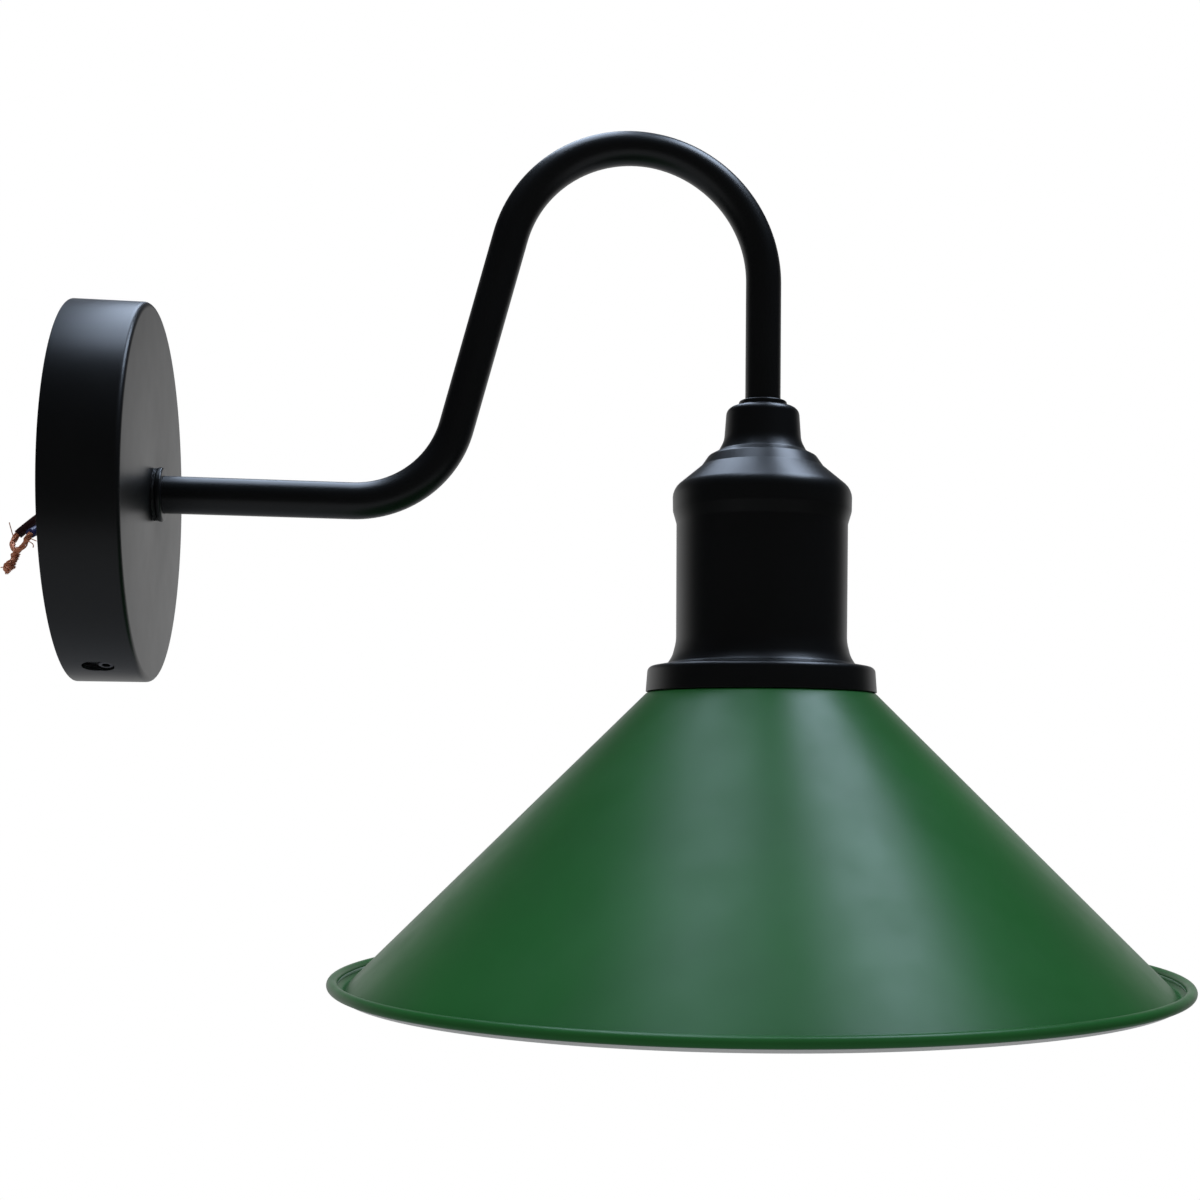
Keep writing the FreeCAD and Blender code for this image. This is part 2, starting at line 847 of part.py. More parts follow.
def make_side_contact():
    """Strip from the neutral block down to the flange of the screw shell."""
    far = side_strip_at + strip_thickness
    foot = strip_box(-1, block_offset, far, block_foot - strip_thickness, block_foot)
    leg = strip_box(-1, side_strip_at, far, puck_foot, block_foot)
    return foot.fuse(leg).removeSplitter()


def make_centre_strip():
    """Strip from the live block down to the leaf in the puck's lower pocket."""
    far = block_offset + strip_thickness
    foot_low = pocket_top - strip_thickness
    foot = strip_box(1, block_offset - block_size / 2, far, foot_low, pocket_top)
    leg = strip_box(1, block_offset, far, foot_low, block_foot)
    hole = head_cylinder(rivet_radius + fit_gap / 2, foot_low, pocket_top, centre_rivet_at)
    return foot.fuse(leg).removeSplitter().cut(hole)


def make_centre_contact():
    """Springy leaf that a lamp's tip presses up, bent down to its toe."""
    top = pocket_top - strip_thickness - leaf_gap
    bend = leaf_root - leaf_reach + leaf_toe
    corners = [
        (leaf_root, top),
        (bend, top - leaf_drop, leaf_bend_radius),
        (bend - leaf_toe, top - leaf_drop + leaf_toe / 2),
    ]
    profile = Part.Face(rounded_wire(sheet_section(corners, -leaf_thickness)))
    leaf = profile.extrude(V(0, 0, leaf_width))
    leaf.translate(V(head_x, 0, -leaf_width / 2))
    leaf.rotate(V(0, 0, 0), V(1, 0, 0), 90)
    return leaf


def make_screw_shell():
    """Threaded contact shell for a 27 mm screw cap, plain here, with its top flange."""
    outer = shell_radius + shell_wall
    flange_low = puck_foot - shell_flange_thickness
    corners = [
        (shell_radius, shell_mouth),
        (outer, shell_mouth),
        (outer, flange_low),
        (shell_flange_radius, flange_low),
        (shell_flange_radius, puck_foot),
        (shell_radius, puck_foot),
    ]
    shell = lathe_on_z(corners)
    for x, y, seat in rivet_places()[:2]:
        shell = shell.cut(head_cylinder(rivet_radius + fit_gap / 2, flange_low, seat, x, y))
    return shell


def make_core_rivets():
    """Rivets that hold the screw shell and the centre strip to the puck."""
    depths = [shell_flange_thickness, shell_flange_thickness, strip_thickness]
    rivets = []
    for (x, y, seat), depth in zip(rivet_places(), depths):
        rivets.append(head_cylinder(rivet_radius, seat - depth, seat + rivet_depth, x, y))
    return Part.makeCompound(rivets)


def make_holder_skirt():
    """Lower half of the lampholder, with the shade's seat and its 40 mm thread."""
    clamp_top = shade_top + clamp_thickness
    inside_radius = holder_radius - holder_wall
    corners = [
        (inside_radius, dome_joint),
        (holder_radius, dome_joint),
        (holder_radius, clamp_top, clamp_rounding),
        (clamp_radius, clamp_top, clamp_edge),
        (clamp_radius, shade_top),
        (skirt_thread_radius, shade_top),
        (skirt_thread_radius, skirt_mouth + skirt_chamfer),
        (skirt_thread_radius - skirt_chamfer, skirt_mouth),
        (skirt_bore_radius, skirt_mouth),
        (skirt_bore_radius, puck_foot),
        (inside_radius, puck_foot),
    ]
    return lathe_on_z(corners)


def make_shade():
    """Cone with a flat seat at its top and a groove and rolled bead at its rim."""
    rise = V(lip_width, lip_rise, 0)
    rise.normalize()
    under = V(rise.y, -rise.x, 0) * shade_wall
    bead = V(groove_radius + lip_width, groove_height + lip_rise, 0)
    upper = bead - rise * rim_bead_radius
    lower = bead + under - rise * math.sqrt(rim_bead_radius**2 - shade_wall**2)
    corners = [
        (shade_hole_radius, shade_top),
        (shoulder_radius, shade_top, shoulder_rounding),
        (groove_radius, groove_height, groove_rounding),
        (upper.x, upper.y),
    ]
    section = sheet_section(corners, shade_wall)
    under_side = section[len(corners) + 1:]
    sheet = rounded_wire([(lower.x, lower.y)] + under_side + corners, False)
    roll = Part.Arc(upper, bead + rise * rim_bead_radius, lower).toShape()
    return stand_on_head(revolved(Part.Wire(sheet.Edges + [roll])), 0)


def make_shade_ring():
    """Internally threaded ring with a flange and grip ribs."""
    bore = skirt_thread_radius + ring_thread_gap
    outer = bore + ring_wall
    top = shade_top - shade_wall
    foot = top - ring_height
    seat = top - ring_flange_thickness
    corners = [
        (bore, top),
        (bore, foot),
        (outer, foot, ring_edge),
        (outer, seat),
        (ring_flange_radius, seat, ring_flange_edge),
        (ring_flange_radius, top),
    ]
    ring = lathe_on_z(corners)
    rib_foot = foot + ring_edge
    start = V(outer - rib_root, -rib_width / 2, rib_foot)
    for i in range(ring_ribs):
        rib = Part.makeBox(rib_depth + rib_root, rib_width, seat - rib_foot, start)
        rib.rotate(V(0, 0, 0), V(0, 0, 1), 360 * i / ring_ribs)
        rib.translate(V(head_x, 0, 0))
        ring = ring.fuse(rib)
    return ring.removeSplitter()


nodes = {
    "wall_strap": make_wall_strap,
    "strap_grub_screws": make_strap_grub_screws,
    "earth_screw": make_earth_screw,
    "earth_washer": make_earth_washer,
    "canopy": make_canopy,
    "canopy_gasket": make_canopy_gasket,
    "canopy_collar": make_canopy_collar,
    "canopy_lock_washer": make_canopy_lock_washer,
    "canopy_nut": make_canopy_nut,
    "arm_tube": make_arm_tube,
    "cable_bush": make_cable_bush,
    "live_core": lambda: make_core(1),
    "neutral_core": lambda: make_core(-1),
    "live_lead": make_live_lead,
    "neutral_lead": make_neutral_lead,
    "live_strands": make_live_strands,
    "neutral_strands": make_neutral_strands,
    "head_collar": make_head_collar,
    "bell_cover": make_bell_cover,
    "cover_lock_washer": make_cover_washer,
    "cover_nut": make_cover_nut,
    "holder_dome": make_holder_dome,
    "dome_set_screw": make_dome_set_screw,
    "holder_core": make_holder_core,
    "terminal_blocks": make_terminal_blocks,
    "terminal_screws": make_terminal_screws,
    "side_contact": make_side_contact,
    "centre_strip": make_centre_strip,
    "centre_contact": make_centre_contact,
    "screw_shell": make_screw_shell,
    "core_rivets": make_core_rivets,
    "holder_skirt": make_holder_skirt,
    "shade": make_shade,
    "shade_ring": make_shade_ring,
}

os.makedirs("parts", exist_ok=True)
for node, make in nodes.items():
    shape = make()
    print("%s: %d solid(s), volume %.1f, valid %s" % (
        node, len(shape.Solids), shape.Volume, shape.isValid()))
    shape.exportStep("parts/%s.step" % node)
print("head axis at X = %.2f, rim from Z = %.2f" % (head_x, groove_height))
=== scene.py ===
"""Gooseneck wall light: the finishes, the turned and spun sheet metal, the leads and the stage.

All sizes here are in metres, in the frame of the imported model: +X out of the wall, +Z up.
"""
import json
import math
import random

import bmesh
import bpy
from mathutils import Matrix, Vector


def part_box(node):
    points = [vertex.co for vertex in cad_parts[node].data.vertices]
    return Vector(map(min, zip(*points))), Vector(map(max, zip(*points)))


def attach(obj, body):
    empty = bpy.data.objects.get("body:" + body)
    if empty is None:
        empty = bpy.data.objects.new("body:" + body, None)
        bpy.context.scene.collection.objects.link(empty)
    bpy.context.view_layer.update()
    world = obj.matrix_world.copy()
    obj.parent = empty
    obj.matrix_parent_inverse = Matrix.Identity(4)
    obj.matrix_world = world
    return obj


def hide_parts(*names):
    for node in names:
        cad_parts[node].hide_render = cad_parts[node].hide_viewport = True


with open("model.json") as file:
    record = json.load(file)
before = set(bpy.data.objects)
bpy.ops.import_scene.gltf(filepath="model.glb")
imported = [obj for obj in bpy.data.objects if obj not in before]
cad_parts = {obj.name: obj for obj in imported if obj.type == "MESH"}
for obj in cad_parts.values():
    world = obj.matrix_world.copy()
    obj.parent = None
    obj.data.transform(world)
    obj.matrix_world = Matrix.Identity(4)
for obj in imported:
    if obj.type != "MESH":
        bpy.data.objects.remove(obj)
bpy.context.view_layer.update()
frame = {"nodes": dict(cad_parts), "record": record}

bl_info = {
    "name": "Gooseneck wall light",
    "version": (1, 0, 0),
    "blender": (4, 5, 0),
    "location": "3D View > Sidebar > Wall light",
    "description": "Builds the looks of a gooseneck wall light round its packed frame",
    "category": "Object",
}

MM = 0.001
WALL_BRACKET = "wall_bracket"
LAMP = "lamp_body"
SHADE = "shade"
SHADE_RING = "shade_ring"

# Places read from the frame.
canopy_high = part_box("canopy")[1]
gasket_low, gasket_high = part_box("canopy_gasket")
collar_low, collar_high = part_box("canopy_collar")
tube_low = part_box("arm_tube")[0]
head_collar_low, head_collar_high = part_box("head_collar")
bell_low, bell_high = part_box("bell_cover")
dome_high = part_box("holder_dome")[1]
skirt_low, skirt_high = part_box("holder_skirt")
shell_low, shell_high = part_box("screw_shell")
shade_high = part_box("shade")[1]
ring_low, ring_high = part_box("shade_ring")
earth_low, earth_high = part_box("earth_screw")
grub_low, grub_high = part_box("strap_grub_screws")
HEAD = Vector(((bell_low.x + bell_high.x) / 2, 0, 0))

# Sizes shared by several pieces, as in the frame.
SHEET = 1.0 * MM
TUBE_RADIUS = 5.0 * MM
TUBE_BORE = 4.0 * MM
TUBE_HOLE = 5.1 * MM
SLOT_TURN = math.radians(19.7)
SCREW_RADIUS = 1.95 * MM
THREAD_START = 1.7 * MM

# Limits and steps of the shape helpers.
MERGE = 1e-7
LEAST_ARC = 1e-6
ARC_SHARE = 0.45
ARC_STEP = math.radians(12)
FLAT_CORNER = math.radians(89)
LEAST_MITRE = 0.3
LEAST_ROUNDING = 0.15 * MM
SMOOTH_ANGLE = 35.0
AXIS_GAP = 0.02 * MM
CUT_OVER = 1.0 * MM

# The arm's runs from the wall out: length, bend radius, turn in degrees, and how much of the
# tube's width is left in the plane of the arm at the run's end.
ARM_RUNS = (
    (58.6 * MM, 0, 0, 1.0),
    (0, 28.6 * MM, 75.3, 0.965),
    (55.4 * MM, 0, 0, 0.975),
    (0, 36.3 * MM, -82.65, 0.93),
    (0, 36.3 * MM, -82.65, 1.0),
)
ARM_END_IN_BOSS = 9.7 * MM
ARM_FACES = 64
ARM_STEP = 2.5
ARM_LEAST_STEPS = 6

# Outline of the bell cover from its top down: radius, drop and rounding, in millimetres.
BELL_OUTLINE = (
    (10.2, 0.0, 2.4), (10.9, 9.6, 5.0), (12.5, 12.6, 1.0), (15.3, 14.1, 1.3),
    (17.3, 17.0, 0.9), (25.3, 23.7, 4.4), (25.2, 29.6, 2.6), (24.15, 33.2, 2.6),
    (24.0, 66.4, 9.0), (25.0, 70.4, 5.0), (26.4, 72.7, 1.3), (31.9, 73.7, 1.6),
    (32.4, 80.6, 0.0),
)

# Routes of the free leads and of their bare strands, in millimetres.
LIVE_LEAD = (
    (10.8, 1.35, 0.0), (2.8, 1.35, 0.0), (-4.4, 3.6, -2.6), (-10.4, 3.8, -5.9),
    (-15.64, 2.2, -11.45),
)
NEUTRAL_LEAD = (
    (10.8, -1.35, 0.0), (3.0, -1.35, 0.0), (-4.2, -0.4, -3.8), (-8.2, -3.0, -10.0),
    (-9.78, -9.8, -12.65),
)
LIVE_STRANDS = (
    (-15.64, 2.2, -11.45), (-16.69, 1.5, -13.03), (-16.06, -1.5, -15.12),
    (-13.84, -5.0, -17.21), (-13.7, -8.0, -19.39), (-14.91, -9.5, -20.51),
    (-16.1, -9.0, -21.65), (-15.33, -8.0, -22.8),
)
NEUTRAL_STRANDS = (
    (-9.78, -9.8, -12.65), (-10.42, -10.6, -14.07), (-11.48, -9.5, -15.9),
    (-13.99, -7.5, -17.27), (-15.15, -5.0, -18.81), (-14.39, -6.5, -20.66),
    (-14.88, -9.5, -22.06), (-15.27, -10.5, -21.16),
)
STRAY_WIRES = (
    ((-16.7, 1.8, -12.2), (-17.38, 2.0, -10.07), (-17.9, 2.2, -8.33)),
    ((-15.9, -9.0, -21.39), (-16.57, -9.0, -21.48), (-17.08, -9.0, -21.54)),
    ((-10.3, -10.2, -13.7), (-8.72, -10.5, -14.4), (-8.11, -10.5, -14.64)),
    ((-10.6, -10.8, -14.6), (-8.3, -11.0, -15.3), (-8.7, -11.5, -16.46)),
)

LEAD_RADIUS = 1.2 * MM

# How the strands lie about their route: two rings, the length of one twist, and a waver.
INNER_RING = 0.26 * MM
OUTER_RING = 0.60 * MM
TWIST_LENGTH = 7.5 * MM
WAVER_LENGTH = 1.3 * MM
WAVER_SHARE = 0.22
GOLDEN_SHARE = 0.618
OFF_ROUTE = (0, 0.35, 1)

# Finishes: the usual range of the noise, the dust specks, the relief, and the numbers of the
# colour sockets of a mix node.
NOISE_LOW, NOISE_HIGH = 0.3, 0.7
DUST_CELLS = 24.0
DUST_SIZE = 0.26 * MM
PEEL_HEIGHT = 0.02 * MM
GRAIN_HEIGHT = 0.01 * MM
MIX_FIRST, MIX_SECOND, MIX_RESULT = 6, 7, 2

# Camera of the photograph.
CAMERA_PLACE = (0.09484, -0.46847, -0.07252)
CAMERA_YAW = math.radians(9.36)
CAMERA_RISE = math.radians(2.40)
CAMERA_ROLL = math.radians(0.413)
CAMERA_LENS = 51.0
CAMERA_SENSOR = 36.0
CAMERA_SHIFT = (-0.1, 0.0833)


# ---------------------------------------------------------------- properties

class WALLLIGHT_PG_sizes(bpy.types.PropertyGroup):
    """Sizes that a user would change."""
    steps: bpy.props.IntProperty(
        name="Steps", description="Faces round a turned piece", default=160, min=24)
    edge: bpy.props.FloatProperty(
        name="Edge", description="Rounding of a cut sheet edge", default=0.2 * MM,
        unit="LENGTH", precision=5)
    strand: bpy.props.FloatProperty(
        name="Strand", description="Radius of one copper strand", default=0.13 * MM,
        unit="LENGTH", precision=5)
    strands: bpy.props.IntProperty(
        name="Strands", description="Copper strands in each lead", default=16, min=3)
    peel: bpy.props.FloatProperty(
        name="Peel", description="Grain of the powder coat", default=0.5 * MM,
        unit="LENGTH", precision=5)
    shade_pitch: bpy.props.FloatProperty(
        name="Ring pitch", description="Rise of the shade ring's thread in one turn",
        default=2.5 * MM, unit="LENGTH", precision=5)
    cap_pitch: bpy.props.FloatProperty(
        name="Cap pitch", description="Rise of the lamp cap's thread in one turn",
        default=3.6 * MM, unit="LENGTH", precision=5)


class WALLLIGHT_PG_colours(bpy.types.PropertyGroup):
    """Colours that a user would change, as linear values."""
    coat: bpy.props.FloatVectorProperty(
        name="Black coat", description="Powder coat of the arm, canopy and cover",
        subtype="COLOR", default=(0.0030, 0.0034, 0.0040), min=0, max=1)
    enamel: bpy.props.FloatVectorProperty(
        name="Green coat", description="Satin coat of the shade's outside",
        subtype="COLOR", default=(0.014, 0.104, 0.022), min=0, max=1)
    lining: bpy.props.FloatVectorProperty(
        name="Lining", description="White coat of the shade's inside",
        subtype="COLOR", default=(0.74, 0.74, 0.71), min=0, max=1)
    brown: bpy.props.FloatVectorProperty(
        name="Brown lead", description="Insulation of the live lead",
        subtype="COLOR", default=(0.028, 0.008, 0.008), min=0, max=1)
    blue: bpy.props.FloatVectorProperty(
        name="Blue lead", description="Insulation of the neutral lead",
        subtype="COLOR", default=(0.008, 0.014, 0.11), min=0, max=1)
    copper: bpy.props.FloatVectorProperty(
        name="Copper", description="Bare strands",
        subtype="COLOR", default=(0.86, 0.36, 0.20), min=0, max=1)


# ------------------------------------------------------------ shape helpers

def finished(bm, name, material, smooth_angle=SMOOTH_ANGLE):
    """Object at the origin from a bmesh, with outward faces and smooth shading."""
    bmesh.ops.remove_doubles(bm, verts=bm.verts, dist=MERGE)
    bmesh.ops.recalc_face_normals(bm, faces=bm.faces)
    mesh = bpy.data.meshes.new(name)
    bm.to_mesh(mesh)
    bm.free()
    mesh.shade_smooth()
    mesh.set_sharp_from_angle(angle=math.radians(smooth_angle))
    mesh.materials.append(material)
    obj = bpy.data.objects.new(name, mesh)
    bpy.context.scene.collection.objects.link(obj)
    return obj


def corner_reach(before, corner, after, rounding):
    """Distance from a corner at which the arc that rounds it starts."""
    to_before = before - corner
    to_after = after - corner
    half = to_before.angle(to_after) / 2
    if rounding <= 0 or half > FLAT_CORNER:
        return 0
    return min(rounding / math.tan(half), ARC_SHARE * min(to_before.length, to_after.length))


def outline(bm, corners):
    """Closed wire in the plane Y = 0 from corners (radius, height, rounding)."""
    places = [Vector((corner[0], 0, corner[1])) for corner in corners]
    verts = [bm.verts.new(place) for place in places]
    bm.faces.new(verts)
    for i, vert in enumerate(verts):
        rounding = corners[i][2] if len(corners[i]) > 2 else 0
        before, after = places[i - 1], places[(i + 1) % len(places)]
        reach = corner_reach(before, places[i], after, rounding)
        if reach > LEAST_ARC:
            bend = math.pi - (before - places[i]).angle(after - places[i])
            bmesh.ops.bevel(
                bm, geom=[vert], offset=reach, offset_type="OFFSET",
                segments=max(2, round(bend / ARC_STEP)), profile=0.5,
                affect="VERTICES", material=-1)
    bmesh.ops.delete(bm, geom=list(bm.faces), context="FACES_ONLY")


def sheet_section(corners, wall, edge):
    """Closed section of sheet metal along corners, its wall on their right."""
    points = [Vector((corner[0], corner[1])) for corner in corners]
    last = len(points) - 1
    other = []
    for i, corner in enumerate(corners):
        before = (points[i] - points[i - 1] if i > 0 else points[1] - points[0]).normalized()
        after = (points[i + 1] - points[i]).normalized() if i < last else before
        right = Vector((before.y + after.y, -before.x - after.x)).normalized()
        mitre = max(LEAST_MITRE, right.dot(Vector((before.y, -before.x))))
        offset = points[i] + right * wall / mitre
        turns_right = before.x * after.y - before.y * after.x < 0
        rounding = corner[2] if len(corner) > 2 else 0
        if rounding > 0:
            rounding = max(LEAST_ROUNDING, rounding - wall) if turns_right else rounding + wall
        other.append((offset.x, offset.y, rounding or edge))
    near = [(*corner[:2], (corner[2] if len(corner) > 2 else 0) or edge) for corner in corners]
    return near + other[::-1]


def turn(corners, steps):
    """New bmesh with a solid turned about Z from corners (radius, height, rounding)."""
    bm = bmesh.new()
    outline(bm, corners)
    bmesh.ops.spin(
        bm, geom=list(bm.verts) + list(bm.edges), cent=(0, 0, 0), axis=(0, 0, 1),
        dvec=(0, 0, 0), angle=math.tau, steps=steps, use_merge=True, use_duplicate=False)
    return bm


def stand_on_x(bm):
    """Turns a piece that lies along Z so that it lies along the arm's first leg."""
    quarter = Matrix.Rotation(math.pi / 2, 3, "Y")
    bmesh.ops.rotate(bm, verts=bm.verts, cent=(0, 0, 0), matrix=quarter)
    return bm


def at(bm, place):
    """Moves a piece to its place."""
    bmesh.ops.translate(bm, verts=bm.verts, vec=place)
    return bm


def add(bm, other):
    """Adds another bmesh's faces to a bmesh."""
    mesh = bpy.data.meshes.new("part")
    other.to_mesh(mesh)
    other.free()
    bm.from_mesh(mesh)
    bpy.data.meshes.remove(mesh)
    return bm


def verts_of(made):
    """Vertices among the geometry that an operator made."""
    return [item for item in made if isinstance(item, bmesh.types.BMVert)]


def prism(corners, depth):
    """Closed prism along Z from the corners (x, y) of its foot."""
    bm = bmesh.new()
    face = bm.faces.new([bm.verts.new((x, y, 0)) for x, y in corners])
    made = bmesh.ops.extrude_face_region(bm, geom=[face])["geom"]
    bmesh.ops.translate(bm, verts=verts_of(made), vec=(0, 0, depth))
    return bm


def cut_away(obj, cutters):
    """Cuts other shapes out of an object, and removes them."""
    for cutter in cutters:
        cut = obj.modifiers.new("cut", "BOOLEAN")
        cut.operation = "DIFFERENCE"
        cut.solver = "EXACT"
        cut.object = cutter
    graph = bpy.context.evaluated_depsgraph_get()
    mesh = bpy.data.meshes.new_from_object(obj.evaluated_get(graph))
    mesh.set_sharp_from_angle(angle=math.radians(SMOOTH_ANGLE))
    obj.modifiers.clear()
    obj.data = mesh
    for cutter in cutters:
        bpy.data.objects.remove(cutter)


def dress(obj, body, node):
    """Puts a piece on its body, in the place of its solid."""
    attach(obj, body)
    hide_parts(node)
    return obj


# ---------------------------------------------------------------- materials

class Finish:
    """A node material in the making."""

    def __init__(self, name):
        self.material = bpy.data.materials.new(name)
        self.material.use_nodes = True
        self.tree = self.material.node_tree
        self.shader = self.tree.nodes["Principled BSDF"]
        self.coords = self.tree.nodes.new("ShaderNodeTexCoord").outputs["Object"]

    def link(self, source, node, socket):
        """Joins an output to an input."""
        self.tree.links.new(source, node.inputs[socket])

    def noise(self, scale, detail=3.0, coords=None):
        """Noise of a scale per metre."""
        texture = self.tree.nodes.new("ShaderNodeTexNoise")
        texture.inputs["Scale"].default_value = scale
        texture.inputs["Detail"].default_value = detail
        texture.inputs["Roughness"].default_value = 0.55
        self.link(coords or self.coords, texture, "Vector")
        return texture.outputs["Fac"]

    def stretched(self, scale):
        """Object coordinates stretched along the axes."""
        mapping = self.tree.nodes.new("ShaderNodeMapping")
        mapping.inputs["Scale"].default_value = scale
        self.link(self.coords, mapping, "Vector")
        return mapping.outputs["Vector"]

    def ramp(self, source, stops):
        """Colour over a factor, from (place, colour) stops."""
        node = self.tree.nodes.new("ShaderNodeValToRGB")
        elements = node.color_ramp.elements
        for element, (place, colour) in zip(elements, stops):
            element.position = place
            element.color = (*colour, 1)
        self.link(source, node, "Fac")
        return node.outputs["Color"]

    def spread(self, source, low, high):
        """Maps the usual range of the noise onto another range."""
        node = self.tree.nodes.new("ShaderNodeMapRange")
        node.inputs["From Min"].default_value = NOISE_LOW
        node.inputs["From Max"].default_value = NOISE_HIGH
        node.inputs["To Min"].default_value = low
        node.inputs["To Max"].default_value = high
        self.link(source, node, "Value")
        return node.outputs["Result"]

    def mix(self, factor, first, second):
        """Mix of two colours by a factor."""
        node = self.tree.nodes.new("ShaderNodeMix")
        node.data_type = "RGBA"
        self.link(factor, node, "Factor")
        for source, socket in ((first, MIX_FIRST), (second, MIX_SECOND)):
            if isinstance(source, tuple):
                node.inputs[socket].default_value = (*source, 1)
            else:
                self.tree.links.new(source, node.inputs[socket])
        return node.outputs[MIX_RESULT]

    def specks(self, scale, size):
        """Sparse round specks: 1 inside a speck and 0 outside."""
        cells = self.tree.nodes.new("ShaderNodeTexVoronoi")
        cells.inputs["Scale"].default_value = scale
        self.link(self.coords, cells, "Vector")
        inside = self.tree.nodes.new("ShaderNodeMath")
        inside.operation = "LESS_THAN"
        inside.inputs[1].default_value = size * scale
        self.link(cells.outputs["Distance"], inside, 0)
        return inside.outputs["Value"]

    def mottle(self, colour, scale, low, high):
        """Colour that varies between two shares of itself."""
        stops = [(NOISE_LOW, shaded(colour, low)), (NOISE_HIGH, shaded(colour, high))]
        return self.ramp(self.noise(scale), stops)

    def bump(self, height, distance, strength):
        """Raises the surface by a height."""
        node = self.tree.nodes.new("ShaderNodeBump")
        node.inputs["Distance"].default_value = distance
        node.inputs["Strength"].default_value = strength
        self.link(height, node, "Height")
        self.link(node.outputs["Normal"], self.shader, "Normal")


def shaded(colour, factor):
    """Colour made lighter or darker by a factor."""
    return tuple(min(1.0, c * factor) for c in colour)


def black_coat(colour, peel):
    """Satin black powder coat: fine peel, faint clouds and a few specks of dust."""
    finish = Finish("black_powder_coat")
    body = finish.mottle(colour, 40.0, 0.85, 1.15)
    dust = finish.specks(DUST_CELLS, DUST_SIZE)
    dusty = finish.mix(dust, body, (0.16, 0.16, 0.155))
    finish.link(dusty, finish.shader, "Base Color")
    finish.link(finish.spread(finish.noise(110.0), 0.33, 0.35), finish.shader, "Roughness")
    finish.bump(finish.noise(1 / peel, 2.0), PEEL_HEIGHT, 0.18)
    return finish.material


def shade_coat(green, white, peel):
    """Green coat outside and white inside, which meet under the rolled rim."""
    finish = Finish("green_enamel")
    lining = finish.tree.nodes.new("ShaderNodeAttribute")
    lining.attribute_name = "lining"
    dust = finish.specks(DUST_CELLS, DUST_SIZE)
    outside = finish.mix(dust, finish.mottle(green, 30.0, 0.93, 1.07), (0.30, 0.36, 0.30))
    body = finish.mix(lining.outputs["Fac"], outside, finish.mottle(white, 30.0, 0.97, 1.02))
    finish.link(body, finish.shader, "Base Color")
    finish.link(finish.spread(finish.noise(90.0), 0.31, 0.37), finish.shader, "Roughness")
    finish.shader.inputs["Specular IOR Level"].default_value = 0.22
    finish.bump(finish.noise(1 / peel, 2.0), PEEL_HEIGHT, 0.25)
    return finish.material


def moulded(name, colour, low, high, grain=3200.0):
    """Moulded plastic, rubber or ceramic: a faint mottle and a fine grain."""
    finish = Finish(name)
    finish.link(finish.mottle(colour, 90.0, 0.87, 1.1), finish.shader, "Base Color")
    finish.link(finish.spread(finish.noise(260.0), low, high), finish.shader, "Roughness")
    finish.bump(finish.noise(grain, 2.0), GRAIN_HEIGHT, 0.25)
    return finish.material


def metal(name, colour, low, high, streaks=(1.0, 1.0, 1.0), metallic=1.0):
    """Bare or plated metal with fine streaks and duller patches."""
    finish = Finish(name)
    finish.shader.inputs["Metallic"].default_value = metallic
    finish.link(finish.mottle(colour, 130.0, 0.84, 1.05), finish.shader, "Base Color")
    finish.link(finish.spread(finish.noise(170.0), low, high), finish.shader, "Roughness")
    grain = finish.noise(2400.0, 3.0, coords=finish.stretched(streaks))
    finish.bump(grain, GRAIN_HEIGHT, 0.25)
    return finish.material


def make_materials():
    """All the finishes, by slot."""
    sizes = bpy.context.scene.walllight_sizes
    colours = bpy.context.scene.walllight_colours
    return {
        "black_powder_coat": black_coat(tuple(colours.coat), sizes.peel),
        "green_enamel": shade_coat(tuple(colours.enamel), tuple(colours.lining), sizes.peel),
        "black_rubber": moulded("black_rubber", (0.006, 0.006, 0.0065), 0.55, 0.68),
        "zinc_steel": metal("zinc_steel", (0.62, 0.64, 0.66), 0.28, 0.42, (1.0, 6.0, 6.0)),
        "dark_steel": metal("dark_steel", (0.10, 0.10, 0.11), 0.32, 0.46),
        "bush_plastic": moulded("bush_plastic", (0.62, 0.61, 0.56), 0.4, 0.5),
        "brown_insulation": moulded(
            "brown_insulation", tuple(colours.brown), 0.24, 0.38, 1500.0),
        "blue_insulation": moulded("blue_insulation", tuple(colours.blue), 0.36, 0.46, 1500.0),
        "bare_copper": metal("bare_copper", tuple(colours.copper), 0.30, 0.42, metallic=0.5),
        "holder_plastic": moulded("holder_plastic", (0.011, 0.011, 0.012), 0.3, 0.42),
        "white_ceramic": moulded("white_ceramic", (0.72, 0.70, 0.65), 0.14, 0.26, 900.0),
        "contact_brass": metal("contact_brass", (0.74, 0.52, 0.21), 0.24, 0.38),
        "shell_nickel": metal("shell_nickel", (0.66, 0.63, 0.57), 0.18, 0.30, (1.0, 1.0, 5.0)),
    }


materials = {}


class WALLLIGHT_OT_finishes(bpy.types.Operator):
    """Makes the finishes and gives one to every solid of the frame"""
    bl_idname = "walllight.finishes"
    bl_label = "Finishes"

    def execute(self, context):
        materials.update(make_materials())
        for subpart in frame["record"]["subparts"]:
            mesh = frame["nodes"][subpart["node"]].data
            mesh.materials.clear()
            mesh.materials.append(materials[subpart["material_slot"]])
        return {"FINISHED"}


# -------------------------------------------------------------------- leads

def route_curve(name, points):
    """Curve object on a smooth route through the given points."""
    curve = bpy.data.curves.new(name, "CURVE")
    curve.dimensions = "3D"
    curve.resolution_u = 24
    spline = curve.splines.new("NURBS")
    spline.points.add(len(points) - 1)
    for control, point in zip(spline.points, points):
        control.co = (*(c * MM for c in point), 1)
    spline.order_u = 3
    spline.use_endpoint_u = True
    obj = bpy.data.objects.new(name, curve)
    bpy.context.scene.collection.objects.link(obj)
    return obj


